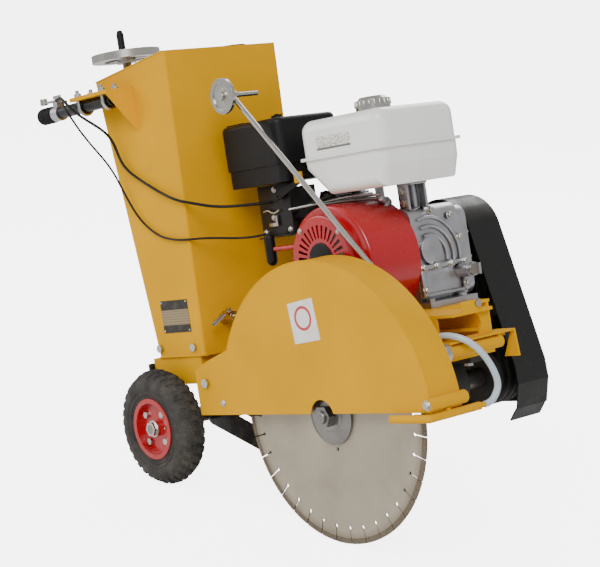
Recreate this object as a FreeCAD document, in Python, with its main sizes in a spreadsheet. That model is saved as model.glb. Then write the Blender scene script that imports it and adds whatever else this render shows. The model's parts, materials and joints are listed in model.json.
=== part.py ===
import FreeCAD, Part
import math
import os
import Sketcher
from types import SimpleNamespace

# A walk-behind concrete saw. Every piece is drawn in the chassis frame: X forward, Y to the left, Z up,
# with zero at the middle of the saw blade. STANCE then stands the whole machine on the floor, nose up on its
# lowered front wheels, with the blade just clear of the ground. Millimetres throughout.

DRIVING = {
    # stance on the floor
    "nose_up_degrees": 13.22, "stance_lift": 252.3, "stance_forward": 298.3, "stance_left": -199.0,
    # saw blade and its spindle
    "blade_radius": 250, "segment_height": 11, "core_thickness": 3, "segment_thickness": 3.6,
    "segment_count": 36, "slot_width": 2.6, "slot_depth": 20, "slot_eye_radius": 3.6,
    "pin_hole_radius": 4, "pin_circle": 66.5, "bore_radius": 12.7, "flange_radius": 57.5,
    "flange_thickness": 10, "spindle_radius": 20, "pulley_seat_radius": 17, "spindle_left_end": 478,
    "arbor_nut_flats": 38, "arbor_nut_height": 17, "fit": 0.05,
    # blade guard
    "guard_radius": 298, "guard_sheet": 2.5, "guard_right": -27, "guard_left": 48, "guard_foot": 6,
    "guard_rear": -380, "guard_shoulder_back": -334, "guard_shoulder_height": 117,
    "guard_heel_height": 98, "guard_arc_end_height": 137, "guard_notch_radius": 33,
    "guard_tube_radius": 12, "guard_tube_forward": 299, "guard_tube_height": 21, "guard_tube_left": 56,
    "guard_tube_right": -38,
    "pivot_back": -346, "pivot_height": 72, "pivot_bolt_radius": 6,
    "spray_radius": 7.5, "spray_height": -3, "spray_left": 84, "spray_nipple_radius": 5,
    # frame
    "cradle_rear": -560, "cradle_front": -392, "cradle_floor": 67, "cradle_top": 124, "cradle_right": 2,
    "cradle_left": 296, "plate": 6, "rail_right": 56, "rail_left": 336,
    "rail_front": 120, "rail_right_front": 226, "rail_foot": 60, "rail_top": 112, "flange_width": 34,
    "axle_back": -506,
    "axle_height": -15, "axle_radius": 10, "hanger_half_width": 30,
    "crossbar_forward": 262, "crossbar_height": 98, "crossbar_radius": 12, "crossbar_right": 49,
    "crossbar_left": 205, "shelf_front": 274, "shelf_back": 236, "shelf_left": 238,
    # engine deck
    "deck_top": 165, "deck_rear": -232, "deck_front": 272, "deck_right": 84, "deck_left": 340,
    "deck_step": 120, "deck_nose_left": 188, "deck_slot_width": 11, "deck_slot_length": 60,
    # wheels
    "tyre_radius": 122, "tyre_section_radius": 87, "tyre_wall": 8, "wheel_right": -38, "wheel_left": 336,
    "rim_radius": 64.5,
    "rim_barrel_radius": 57, "rim_flange": 27.2, "rim_sheet": 2.8, "rim_dish_depth": 13,
    "rim_bolt_circle": 40, "rim_bolt_radius": 4, "hub_radius": 17,
    "front_wheel_radius": 70, "front_wheel_width": 30, "front_wheel_forward": -130,
    "front_wheel_height": -156.7, "front_wheel_right": 60, "front_wheel_left": 208, "front_axle_radius": 8,
    "arm_half_width": 20, "arm_right": 97, "arm_left": 195, "sleeve_radius": 17,
    # depth control
    "screw_back": -668, "screw_left": 129, "screw_radius": 10, "screw_foot": -75, "screw_top": 797,
    "handwheel_radius": 76, "handwheel_bar": 17, "handwheel_height": 785, "knob_radius": 8,
    "knob_height": 42, "knob_forward": 46, "knob_right": -40,
    # water tank
    "tank_wall": 3, "tank_width": 298, "tank_top_front": -356, "tank_top_front_height": 754,
    "tank_top_rear": -615, "tank_top_rear_height": 726, "tank_foot_front": -374, "tank_foot_rear": -532,
    "filler_back": -440, "filler_left": 240, "filler_radius": 33, "filler_top": 752,
    # handlebars
    "bar_radius": 13, "bar_wall": 2.5, "bar_height": 677, "bar_out": 42, "bar_front": -496,
    "bar_rear": -752, "grip_radius": 17, "grip_front": -724, "grip_rear": -770, "bracket_top": 698,
    "bracket_sheet": 8, "bracket_out": 68, "u_bolt_radius": 4,
    # water valve and hose
    "valve_height": 195, "valve_left": 62, "valve_stem_back": -343, "valve_lean_degrees": 26.57,
    "hose_radius": 6.5, "hose_bore_radius": 5,
    # belt drive and its guard
    "crank_back": -47, "crank_height": 290, "belt_right": 392, "belt_left": 485, "belt_sheet": 3,
    "cover_rear": -92, "cover_front": 114, "cover_foot": -66, "upper_cover_radius": 83,
    "upper_cover_back": -38, "upper_cover_height": 288,
    "arbor_pulley_radius": 60, "engine_pulley_radius": 50, "pulley_face": 66, "groove_count": 3,
    "groove_pitch": 20, "groove_width": 13, "groove_depth": 11, "pulley_right": 404,
    # engine
    "case_right": 215, "case_left": 345, "case_rear": -118, "case_front": 62, "case_top": 364,
    "foot_rear": -142, "foot_front": 86, "foot_top": 177, "chamber_radius": 62, "cover_left": 371,
    "blower_right": 88, "blower_radius": 118, "blower_back": -42, "blower_height": 275, "blower_foot": 188,
    "blower_sheet": 2.5, "recoil_right": 70, "recoil_radius": 88, "recoil_slot_count": 30,
    "cylinder_lean_degrees": 25, "cylinder_left": 280, "head_near": 128, "head_far": 196,
    "head_half_width": 56, "crank_radius": 12.5, "flywheel_radius": 95,
    "choke_back": -190, "choke_height": 425, "dipstick_left": 328, "dipstick_height": 227,
    # fuel tank and air cleaner
    "fuel_rear": -92, "fuel_front": 150, "fuel_right": 86, "fuel_left": 304, "fuel_seam_height": 486,
    "fuel_top": 560, "fuel_foot": 412, "fuel_corner": 30, "fuel_cap_forward": 38, "fuel_cap_left": 185,
    "cleaner_rear": -310, "cleaner_front": -132, "cleaner_right": 80, "cleaner_left": 236,
    "cleaner_foot": 452, "cleaner_top": 580,
    # guide pointer
    "pointer_left": 56.5, "pointer_radius": 5.5, "pointer_tip_back": -229, "pointer_tip_height": 639,
    "guide_disc_radius": 36, "guide_disc_left": 34,
}

DOC = FreeCAD.newDocument("concrete_saw")
SHEET = DOC.addObject("Spreadsheet::Sheet", "Dims")
for row, (alias, value) in enumerate(DRIVING.items(), start=1):
    SHEET.set(f"A{row}", alias)
    SHEET.set(f"B{row}", str(value))
    SHEET.setAlias(f"B{row}", alias)
DOC.recompute()


class Size:
    """A length that holds its value and the sheet expression it comes from, so that both stay together."""

    def __init__(self, value, text=None):
        self.value = float(value)
        self.text = text or f"({self.value:.6f})"

    def __add__(self, other):
        other = sized(other)
        return Size(self.value + other.value, f"({self.text} + {other.text})")

    def __sub__(self, other):
        other = sized(other)
        return Size(self.value - other.value, f"({self.text} - {other.text})")

    def __mul__(self, other):
        other = sized(other)
        return Size(self.value * other.value, f"({self.text} * {other.text})")

    def __truediv__(self, other):
        other = sized(other)
        return Size(self.value / other.value, f"({self.text} / {other.text})")

    def __radd__(self, other):
        return sized(other) + self

    def __rsub__(self, other):
        return sized(other) - self

    def __rmul__(self, other):
        return sized(other) * self

    def __neg__(self):
        return Size(0) - self


def sized(value):
    """The value as a Size, whether it is one already or a plain number."""
    return value if isinstance(value, Size) else Size(value)


def root(square):
    """The square root of a Size."""
    return Size(math.sqrt(square.value), f"sqrt({square.text})")


def V(x, y, z):
    """A vector of plain numbers or Sizes."""
    return FreeCAD.Vector(*[sized(c).value for c in (x, y, z)])


D = SimpleNamespace(**{alias: Size(SHEET.get(alias), f"Dims.{alias}") for alias in DRIVING})
TO_X = FreeCAD.Rotation(V(0, 1, 0), 90)
TO_Y = FreeCAD.Rotation(V(1, 0, 0), -90)
TO_Z = FreeCAD.Rotation()
STANCE = FreeCAD.Placement(
    V(D.stance_forward, D.stance_left, D.stance_lift),
    FreeCAD.Rotation(V(0, 1, 0), -D.nose_up_degrees.value),
)
KEPT = []


def new(kind, name="Piece"):
    """A new document object."""
    return DOC.addObject(kind, name)


def bind(thing, **sizes):
    """Tie properties of an object to the sheet."""
    for name, size in sizes.items():
        thing.setExpression(name, sized(size).text)
    return thing


def put(thing, x, y, z, turn=TO_Z):
    """Place an object at sheet-driven coordinates, turned from its own axes."""
    thing.Placement = FreeCAD.Placement(V(x, y, z), turn)
    for axis, size in zip("xyz", (x, y, z)):
        thing.setExpression(f"Placement.Base.{axis}", sized(size).text)
    return thing


def keep(thing, label, at=(0, 0, 0), turn=TO_Z):
    """Name a finished sub-part and stand it on the floor with the rest of the machine."""
    thing.Label = label
    thing.Placement = STANCE.multiply(FreeCAD.Placement(V(*at), turn))
    KEPT.append(thing)
    return thing


def box(x, y, z):
    """A block between two coordinates along each axis."""
    length, width, height = (high - sized(low) for low, high in (x, y, z))
    return put(bind(new("Part::Box"), Length=length, Width=width, Height=height), x[0], y[0], z[0])


def round_bar(axis, across, ends, radius):
    """A cylinder along one axis: across holds its other two coordinates in X, Y, Z order."""
    low, high = ends
    made = bind(new("Part::Cylinder"), Radius=radius, Height=high - sized(low))
    a, b = across
    place = {"X": (low, a, b), "Y": (a, low, b), "Z": (a, b, low)}[axis]
    return put(made, *place, {"X": TO_X, "Y": TO_Y, "Z": TO_Z}[axis])


def cone(axis, across, ends, radii):
    """A tapered cylinder along one axis."""
    low, high = ends
    made = bind(new("Part::Cone"), Radius1=radii[0], Radius2=radii[1], Height=high - sized(low))
    a, b = across
    place = {"X": (low, a, b), "Y": (a, low, b), "Z": (a, b, low)}[axis]
    return put(made, *place, {"X": TO_X, "Y": TO_Y, "Z": TO_Z}[axis])


def hexagon(axis, across, ends, flats):
    """A hexagonal prism along one axis, given its width across flats."""
    low, high = ends
    made = bind(new("Part::Prism"), Circumradius=sized(flats) / math.sqrt(3), Height=high - sized(low))
    made.Polygon = 6
    a, b = across
    place = {"X": (low, a, b), "Y": (a, low, b), "Z": (a, b, low)}[axis]
    return put(made, *place, {"X": TO_X, "Y": TO_Y, "Z": TO_Z}[axis])


def join(*pieces):
    """One welded solid."""
    made = new("Part::MultiFuse")
    made.Shapes = list(pieces)
    made.Refine = True
    return made


def cut(base, *tools):
    """The base with the tools taken away."""
    made = new("Part::Cut")
    made.Base = base
    made.Tool = tools[0] if len(tools) == 1 else join(*tools)
    made.Refine = True
    return made


def group(*pieces):
    """Separate solids under one name."""
    made = new("Part::Compound")
    made.Links = list(pieces)
    return made


def pipe(axis, across, ends, outer, inner):
    """A straight tube along one axis."""
    low, high = ends
    room = round_bar(axis, across, (sized(low) - 1, sized(high) + 1), inner)
    return cut(round_bar(axis, across, ends, outer), room)


def bolt(axis, across, face, reach, radius, flats, head):
    """A hexagon bolt: face is the seat of its head, reach its signed shank length, head its signed height."""
    shank = sorted((sized(face), sized(face) + reach), key=lambda size: size.value)
    cap = sorted((sized(face), sized(face) - head), key=lambda size: size.value)
    return join(round_bar(axis, across, shank, radius), hexagon(axis, across, cap, flats))


def origin_plane(owner, role):
    """A body's own origin plane."""
    return next(feature for feature in owner.Origin.OriginFeatures if feature.Role == role)


def pin_point(sketch, geometry, end, u, v):
    """Fix one sketch point by its two sheet-driven distances from the origin."""
    for kind, size in (("DistanceX", u), ("DistanceY", v)):
        size = sized(size)
        index = sketch.addConstraint(Sketcher.Constraint(kind, -1, 1, geometry, end, size.value))
        sketch.setExpression(f"Constraints[{index}]", size.text)


def pin_radius(sketch, geometry, radius):
    """Fix the radius of an arc or circle."""
    index = sketch.addConstraint(Sketcher.Constraint("Radius", geometry, sized(radius).value))
    sketch.setExpression(f"Constraints[{index}]", sized(radius).text)


def arc_shape(start, end, middle, radius, anticlockwise):
    """A sketch arc between two points around a centre, as FreeCAD draws it: always anticlockwise."""
    first, last = (start, end) if anticlockwise else (end, start)
    angles = [math.atan2(p[1] - middle[1], p[0] - middle[0]) for p in (first, last)]
    if angles[1] <= angles[0]:
        angles[1] += 2 * math.pi
    return Part.ArcOfCircle(Part.Circle(V(*middle, 0), V(0, 0, 1), radius), *angles)


def draw_outline(sketch, corners):
    """A closed outline. A corner is (u, v), or (u, v, centre_u, centre_v, radius, anticlockwise) where an arc
    comes from the corner before it."""
    points = [tuple(sized(c).value for c in corner[:2]) for corner in corners]
    ends = []
    for number, corner in enumerate(corners):
        start, end = points[number - 1], points[number]
        if len(corner) == 2:
            index = sketch.addGeometry(Part.LineSegment(V(*start, 0), V(*end, 0)), False)
            ends.append((index, 1, 2))
            continue
        middle = tuple(sized(c).value for c in corner[2:4])
        shape = arc_shape(start, end, middle, sized(corner[4]).value, corner[5])
        index = sketch.addGeometry(shape, False)
        ends.append((index, 1, 2) if corner[5] else (index, 2, 1))
    for number, (index, first, last) in enumerate(ends):
        after, begin, _ = ends[(number + 1) % len(ends)]
        sketch.addConstraint(Sketcher.Constraint("Coincident", index, last, after, begin))
        pin_point(sketch, index, last, *corners[number][:2])
        if len(corners[number]) > 2:
            pin_radius(sketch, index, corners[number][4])


def draw_circle(sketch, u, v, radius):
    """A full circle in a sketch."""
    shape = Part.Circle(V(u, v, 0), V(0, 0, 1), sized(radius).value)
    index = sketch.addGeometry(shape, False)
    pin_point(sketch, index, 3, u, v)
    pin_radius(sketch, index, radius)


def new_sketch(owner, role, offset=0):
    """A sketch on one of the body's origin planes, moved along the plane's normal."""
    made = owner.newObject("Sketcher::SketchObject", owner.Name + "Sketch")
    made.AttachmentSupport = [(origin_plane(owner, role), "")]
    made.MapMode = "FlatFace"
    made.AttachmentOffset = FreeCAD.Placement(V(0, 0, offset), TO_Z)
    made.setExpression("AttachmentOffset.Base.z", sized(offset).text)
    return made


def plate(corners, ends, axis="Y", holes=()):
    """A plate cut to an outline, between two coordinates along its axis. holes are (u, v, radius)."""
    low, high = sized(ends[0]), sized(ends[1])
    owner = new("PartDesign::Body", "Plate")
    role, offset = {"X": ("YZ_Plane", low), "Y": ("XZ_Plane", -low), "Z": ("XY_Plane", low)}[axis]
    sketch = new_sketch(owner, role, offset)
    draw_outline(sketch, corners)
    for hole in holes:
        draw_circle(sketch, *hole)
    made = owner.newObject("PartDesign::Pad", owner.Name + "Pad")
    made.Profile = sketch
    made.Reversed = axis == "Y"
    made.setExpression("Length", (high - low).text)
    owner.Tip = made
    return owner


def lathe(corners):
    """A turned piece around Y: corners are (radius, y)."""
    owner = new("PartDesign::Body", "Turned")
    sketch = new_sketch(owner, "XY_Plane")
    draw_outline(sketch, corners)
    made = owner.newObject("PartDesign::Revolution", owner.Name + "Turn")
    made.Profile = sketch
    made.ReferenceAxis = (sketch, ["V_Axis"])
    made.Angle = 360
    owner.Tip = made
    return owner


def soften(owner, radius, wanted):
    """Round the edges of a body that the test picks out."""
    DOC.recompute()
    base = owner.Tip
    names = [f"Edge{n}" for n, edge in enumerate(base.Shape.Edges, start=1) if wanted(edge)]
    made = owner.newObject("PartDesign::Fillet", owner.Name + "Fillet")
    made.Base = (base, names)
    made.Radius = sized(radius).value
    made.setExpression("Radius", sized(radius).text)
    owner.Tip = made
    return owner


def swept(path, radius, hollow=0):
    """A bent bar or tube through the given points."""
    curve = Part.BSplineCurve()
    curve.interpolate([V(*point) for point in path])
    spine = Part.Wire([curve.toShape()])
    start = curve.value(curve.FirstParameter)
    direction = curve.tangent(curve.FirstParameter)[0]
    shapes = []
    for size in (radius, hollow):
        size = sized(size).value
        if size:
            ring = Part.Wire([Part.makeCircle(size, start, direction)])
            shapes.append(spine.makePipeShell([ring], True, False))
    made = new("Part::Feature", "Swept")
    made.Shape = shapes[0].cut(shapes[1]) if hollow else shapes[0]
    return made


def slab(first, second, radius_first, radius_second):
    """The corners of a plate with two round ends joined by straight tangent sides."""
    (u1, v1), (u2, v2) = [(sized(u), sized(v)) for u, v in (first, second)]
    r1, r2 = sized(radius_first), sized(radius_second)
    span = root((u2 - u1) * (u2 - u1) + (v2 - v1) * (v2 - v1))
    along = ((u2 - u1) / span, (v2 - v1) / span)
    lean = (r1 - r2) / span
    upright = root(1 - lean * lean)
    left = (along[0] * lean - along[1] * upright, along[1] * lean + along[0] * upright)
    right = (along[0] * lean + along[1] * upright, along[1] * lean - along[0] * upright)
    return [
        (u1 + right[0] * r1, v1 + right[1] * r1, u1, v1, r1, True),
        (u2 + right[0] * r2, v2 + right[1] * r2),
        (u2 + left[0] * r2, v2 + left[1] * r2, u2, v2, r2, True),
        (u1 + left[0] * r1, v1 + left[1] * r1),
    ]


def on_circle(radius, height):
    """How far along a circle around zero reaches at a height."""
    return root(radius * radius - sized(height) * height)


def cosine(angle):
    """The cosine of a Size in degrees."""
    return Size(math.cos(math.radians(angle.value)), f"cos({angle.text})")


def sine(angle):
    """The sine of a Size in degrees."""
    return Size(math.sin(math.radians(angle.value)), f"sin({angle.text})")


def pocket_ring(owner, corners, count, low):
    """Cut one outline straight through a body along +Y and repeat it around the Y axis."""
    DOC.recompute()
    before = owner.Shape.Volume
    sketch = new_sketch(owner, "XZ_Plane", -sized(low))
    draw_outline(sketch, corners)
    pocket = owner.newObject("PartDesign::Pocket", owner.Name + "Pocket")
    pocket.Profile = sketch
    pocket.Type = "ThroughAll"
    owner.Tip = pocket
    ring = owner.newObject("PartDesign::PolarPattern", owner.Name + "Ring")
    ring.Originals = [pocket]
    ring.Axis = (sketch, ["N_Axis"])
    ring.Angle = 360
    ring.Occurrences = int(sized(count).value)
    ring.setExpression("Occurrences", sized(count).text)
    owner.Tip = ring
    DOC.recompute()
    if owner.Shape.Volume >= before:
        raise SystemExit(f"{owner.Name}: the pocket cut nothing")
    return owner


def disc(middle, radius, ends, holes=()):
    """A round plate across Y, with round holes."""
    low, high = sized(ends[0]), sized(ends[1])
    owner = new("PartDesign::Body", "Disc")
    sketch = new_sketch(owner, "XZ_Plane", -low)
    draw_circle(sketch, *middle, radius)
    for hole in holes:
        draw_circle(sketch, *hole)
    made = owner.newObject("PartDesign::Pad", owner.Name + "Pad")
    made.Profile = sketch
    made.Reversed = True
    made.setExpression("Length", (high - low).text)
    owner.Tip = made
    return owner


# ---- saw blade and spindle -------------------------------------------------------------------------------

CORE_RADIUS = D.blade_radius - D.segment_height
BORE = D.bore_radius
NUT_SEAT = -(D.core_thickness / 2) - D.flange_thickness - 1.5


def saw_blade():
    """The steel core, with a keyhole slot between each pair of segments and one drive-pin hole."""
    half = D.core_thickness / 2
    holes = [(0, 0, BORE), (0, -D.pin_circle, D.pin_hole_radius)]
    core = disc((0, 0), CORE_RADIUS, (-half, half), holes)
    slot = D.slot_width / 2
    eye = CORE_RADIUS - D.slot_depth
    neck = eye + root(D.slot_eye_radius * D.slot_eye_radius - slot * slot)
    beyond = D.blade_radius + 5
    corners = [(slot, beyond), (-slot, beyond), (-slot, neck), (slot, neck, 0, eye, D.slot_eye_radius, True)]
    pocket_ring(core, corners, D.segment_count, -half - 1)
    keep(core, "saw_blade")


def blade_segments():
    """The diamond segments, brazed to the rim of the core."""
    half = D.segment_thickness.value / 2
    inner = CORE_RADIUS.value + 0.02
    outer = D.blade_radius.value
    step = 360 / D.segment_count.value
    gap = math.degrees(D.slot_width.value / outer)
    pieces = []
    for number in range(int(D.segment_count.value)):
        wheel = Part.makeCylinder(outer, 2 * half, V(0, -half, 0), V(0, 1, 0), step - gap)
        hole = Part.makeCylinder(inner, 2 * half, V(0, -half, 0), V(0, 1, 0))
        segment = wheel.cut(hole)
        segment = segment.Solids[0]
        lead = segment.CenterOfMass
        now = math.degrees(math.atan2(lead.z, lead.x))
        wanted = 90 + step * (number + 0.5)
        segment.rotate(V(0, 0, 0), V(0, 1, 0), now - wanted)
        pieces.append(segment)
    made = new("Part::Feature", "Segments")
    made.Shape = Part.makeCompound(pieces)
    keep(made, "blade_segments")


def blade_shaft():
    """The spindle: blade nose, fixed inner flange, bearing length and pulley seat."""
    nose = BORE - D.fit
    half = D.core_thickness / 2
    back = half + D.flange_thickness
    pulley = D.pulley_right - 6
    keep(lathe([
        (0, -36), (nose - 2, -36), (nose, -34), (nose, half), (D.flange_radius, half),
        (D.flange_radius, back - 3), (40, back), (D.spindle_radius, back), (D.spindle_radius, pulley),
        (D.pulley_seat_radius, pulley), (D.pulley_seat_radius, D.spindle_left_end), (0, D.spindle_left_end),
    ]), "blade_shaft")


def outer_flange():
    """The loose flange that the arbor nut presses against the blade."""
    face = -(D.core_thickness / 2)
    keep(lathe([
        (BORE, NUT_SEAT), (30, NUT_SEAT), (32, NUT_SEAT + 2), (50, NUT_SEAT + 3),
        (D.flange_radius, NUT_SEAT + 6), (D.flange_radius, face), (BORE, face),
    ]), "outer_flange")


def arbor_nut():
    """The large hexagon nut on the blade nose."""
    far = NUT_SEAT - D.arbor_nut_height
    outside = hexagon("Y", (0, 0), (far, NUT_SEAT), D.arbor_nut_flats)
    keep(cut(outside, round_bar("Y", (0, 0), (far - 1, NUT_SEAT + 1), BORE)), "arbor_nut")


# ---- belt drive ------------------------------------------------------------------------------------------

CRANK = (D.crank_back, D.crank_height)
PULLEY_LEFT = D.pulley_right + D.pulley_face


def groove_centre(number):
    """The Y of the middle of one V-belt groove."""
    return D.pulley_right + D.pulley_face / 2 + D.groove_pitch * (number - 1)


def pulley(label, across, radius, bore):
    """A belt pulley with one groove for each belt and a hub around its shaft."""
    tools = [round_bar("Y", across, (D.pulley_right - 1, PULLEY_LEFT + 1), bore)]
    for number in range(int(D.groove_count.value)):
        middle = groove_centre(number)
        ends = (middle - D.groove_width / 2, middle + D.groove_width / 2)
        tools.append(pipe("Y", across, ends, radius + 1, radius - D.groove_depth))
    blank = round_bar("Y", across, (D.pulley_right, PULLEY_LEFT), radius)
    keep(cut(blank, *tools), label)


def belt_loop(number):
    """One belt, clear of the groove's walls and foot."""
    inside = slab((0, 0), CRANK, D.arbor_pulley_radius - 9, D.engine_pulley_radius - 9)
    outside = slab((0, 0), CRANK, D.arbor_pulley_radius + 1, D.engine_pulley_radius + 1)
    half = D.groove_width / 2 - 0.5
    middle = groove_centre(number)
    room = plate(inside, (middle - half - 1, middle + half + 1))
    return cut(plate(outside, (middle - half, middle + half)), room)


def drive_belts():
    """The matched set of V-belts."""
    keep(group(*[belt_loop(number) for number in range(int(D.groove_count.value))]), "drive_belts")


def cover_outline(inset, foot):
    """The belt cover's side view, moved inwards by the inset: round top, leaning front, open foot."""
    x, z, radius = D.upper_cover_back, D.upper_cover_height, D.upper_cover_radius - inset
    rear, front = D.cover_rear + inset, D.cover_front - inset
    return [
        (x + radius * 0.97014, z + radius * 0.24254),
        (x - radius * 0.99496, z - radius * 0.10028, x, z, radius, True),
        (rear, -6), (rear + 6, foot), (front - 12, foot), (front + 2, -16), (front, 22),
    ]


def belt_guard():
    """The deep sheet cover over the belts, open towards the engine and below, with a strap for its bolt."""
    foot, sheet = D.cover_foot, D.belt_sheet
    shell = plate(cover_outline(0, foot), (D.belt_right, D.belt_left))
    soften(shell, 5, lambda edge: edge.BoundBox.YMin > D.belt_left.value - 0.01
           and edge.BoundBox.ZMax > foot.value + 1)
    room = plate(cover_outline(sheet, foot - 2), (D.belt_right - 1, D.belt_left - sheet))
    tip = (D.cover_front - 12, foot + 2)
    lip = plate([tip, (80, -90), (77.5, -88), (tip[0] - sheet, tip[1])], (D.belt_right, D.belt_left - 5))
    strap = box((-105, 84), (D.belt_right, D.belt_right + sheet), (125, 150))
    hole = round_bar("Y", (-40, 137), (D.belt_right - 1, D.belt_right + sheet + 1), 5.05)
    keep(cut(join(cut(shell, room), lip, strap), hole), "belt_guard")


# ---- blade guard -----------------------------------------------------------------------------------------


def guard_outline():
    """One side of the blade guard: front arc, sloping shoulder, heel and the notch over the spindle."""
    radius, foot, notch = D.guard_radius, D.guard_foot, D.guard_notch_radius
    front = on_circle(radius, foot)
    arc_back = -on_circle(radius, D.guard_arc_end_height)
    jaw = on_circle(notch, foot)
    return [
        (front, foot), (arc_back, D.guard_arc_end_height, 0, 0, radius, True),
        (D.guard_shoulder_back, D.guard_shoulder_height), (D.guard_rear, D.guard_heel_height),
        (D.guard_rear, foot), (-jaw, foot), (jaw, foot, 0, 0, notch, False),
    ]


def guard_band():
    """The rolled strip that joins the guard's two sides."""
    radius, foot, sheet = D.guard_radius, D.guard_foot, D.guard_sheet
    inner = radius - sheet
    back = -on_circle(radius, D.guard_arc_end_height)
    return [
        (on_circle(radius, foot), foot), (back, D.guard_arc_end_height, 0, 0, radius, True),
        (back * inner / radius, D.guard_arc_end_height * inner / radius),
        (on_circle(inner, foot), foot, 0, 0, inner, False),
    ]


def blade_guard():
    """The hinged sheet guard over the blade, with the stiffening tube across its nose."""
    sheet = D.guard_sheet
    pivot = [(D.pivot_back, D.pivot_height, D.pivot_bolt_radius + D.fit)]
    right = plate(guard_outline(), (D.guard_right, D.guard_right + sheet), holes=pivot)
    left = plate(guard_outline(), (D.guard_left - sheet, D.guard_left), holes=pivot)
    band = plate(guard_band(), (D.guard_right + sheet, D.guard_left - sheet))
    ends = (D.guard_tube_right, D.guard_tube_left)
    nose = round_bar("Y", (D.guard_tube_forward, D.guard_tube_height), ends, D.guard_tube_radius)
    keep(join(right, left, band, nose), "blade_guard")


def spray_pipe():
    """The water pipe under the guard's nose: a leg on each side of the blade, and a hose nipple."""
    height, radius = D.spray_height, D.spray_radius
    near, far = D.guard_tube_right, 42
    across = round_bar("Y", (300, height), (near, D.spray_left), radius)
    legs = [round_bar("X", (side, height), (202, 300), radius) for side in (near, far)]
    corner = new("Part::Sphere")
    bind(corner, Radius=radius)
    put(corner, 300, near, height)
    clip = box((299, 305), (4, 12), (height + 4, D.guard_tube_height - D.guard_tube_radius - 0.1))
    hex_end = hexagon("Y", (300, height), (D.spray_left, D.spray_left + 6), 14)
    nipple = round_bar("Y", (300, height), (D.spray_left + 5, D.spray_left + 18), D.spray_nipple_radius)
    keep(join(across, *legs, corner, clip, hex_end, nipple), "spray_pipe")


# ---- frame -----------------------------------------------------------------------------------------------

AXLE = (D.axle_back, D.axle_height)
AXLE_HOLE = (*AXLE, D.axle_radius + D.fit)
PIVOT = (D.pivot_back, D.pivot_height)
BELLY_BOLTS = [(x, y) for x in (-65, 65) for y in (93, 315)]
TANK_BOLTS = [(-524, 145), (-406, 144)]


def cradle_side(low, high):
    """One cheek of the rear cradle, with the hanger that carries the rear axle."""
    rear, front, floor, top, corner = D.cradle_rear, D.cradle_front, D.cradle_floor, D.cradle_top - D.plate, 12
    cheek = plate([
        (rear, floor), (front, floor), (front, top), (rear + corner, top),
        (rear, top - corner, rear + corner, top - corner, corner, True),
    ], (low, high))
    hanger = slab((D.axle_back, floor + 2), AXLE, D.hanger_half_width, 22)
    return [cheek, plate(hanger, (low, high))]


def cradle():
    """The rear box of the frame: cheeks, floor, back, tank seat with its tabs, and the guard's tongue."""
    rear, front, floor, top, sheet = D.cradle_rear, D.cradle_front, D.cradle_floor, D.cradle_top, D.plate
    right, left = D.cradle_right, D.cradle_left
    seat = cut(box((rear, front), (right, left), (top - sheet, top)), box((-540, -412), (30, 268), (110, 130)))
    tabs = [box((-527, -395), ends, (top - 1, top + 34)) for ends in ((D.tank_wall, 9), (289, 295))]
    return [
        *cradle_side(right, right + sheet), *cradle_side(left - sheet, left),
        box((rear, front), (right, left), (floor, floor + sheet)),
        box((rear, rear + sheet), (right, left), (floor, top)),
        plate(slab((-404, 88), PIVOT, 24, 16), (right, right + sheet)), seat, *tabs,
    ]


def rails():
    """The two long rails, the cross plate that ties them to the cradle, and the belly plate."""
    sheet, foot, top, front = D.plate, D.rail_foot, D.rail_top, D.cradle_front
    right, left, width = D.rail_right, D.rail_left, D.flange_width
    return [
        box((front - sheet, front), (D.cradle_right, left), (foot, 118)),
        box((front, D.rail_right_front), (right, right + sheet), (foot, top)),
        box((-260, D.rail_right_front), (right, right + width), (top - sheet, top)),
        box((front, D.rail_front), (left - sheet, left), (foot, top)),
        box((-260, D.rail_front), (left - width, left), (top - sheet, top)),
        box((-120, 120), (right, left), (foot, foot + sheet)),
    ]


def front_shelf():
    """The front cross pipe with the shelf above it and a three-cornered end plate."""
    back, front, left = D.shelf_back, D.shelf_front, D.shelf_left
    across = (D.crossbar_forward, D.crossbar_height)
    return [
        box((back, front), (64, left), (D.rail_top, D.rail_top + 4)),
        box((back - 10, back + 10), (64, left), (D.rail_top - 8, D.rail_top + 4)),
        plate([(front - 8, 113), (front, 113), (front + 4, 64), (front - 32, 64)], (left - 5, left)),
        round_bar("Y", across, (D.crossbar_right, D.crossbar_left), D.crossbar_radius),
        box((253, 271), (194, 200), (104, 113)),
        box((253, 271), (66, 72), (104, 113)),
    ]


def brackets():
    """The lower guide of the depth screw and the arm that carries the belt guard."""
    return [
        box((-694, D.cradle_rear + 1), (107, 151), (92, 104)),
        box((-60, -20), (D.rail_left - 1, D.belt_right), (92, 104)),
        box((-60, -20), (D.belt_right - D.plate, D.belt_right), (92, 150)),
    ]


def main_frame():
    """The welded chassis."""
    screw = round_bar("Z", (D.screw_back, D.screw_left), (80, 120), D.screw_radius + D.fit)
    axle_holes = round_bar("Y", AXLE, (0, 300), D.axle_radius + D.fit)
    pivot_hole = round_bar("Y", PIVOT, (0, 20), D.pivot_bolt_radius + D.fit)
    belly = [round_bar("Z", at, (50, 70), 6.05) for at in BELLY_BOLTS]
    tank = [round_bar("Y", at, (-1, 299), 5.05) for at in TANK_BOLTS]
    cover = round_bar("Y", (-40, 137), (380, 393), 5.05)
    whole = join(*cradle(), *rails(), *front_shelf(), *brackets())
    keep(cut(whole, screw, axle_holes, pivot_hole, cover, *belly, *tank), "main_frame")


ENGINE_BOLTS = [(x, y) for x in (-130, 74) for y in (229, 318)]


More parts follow.
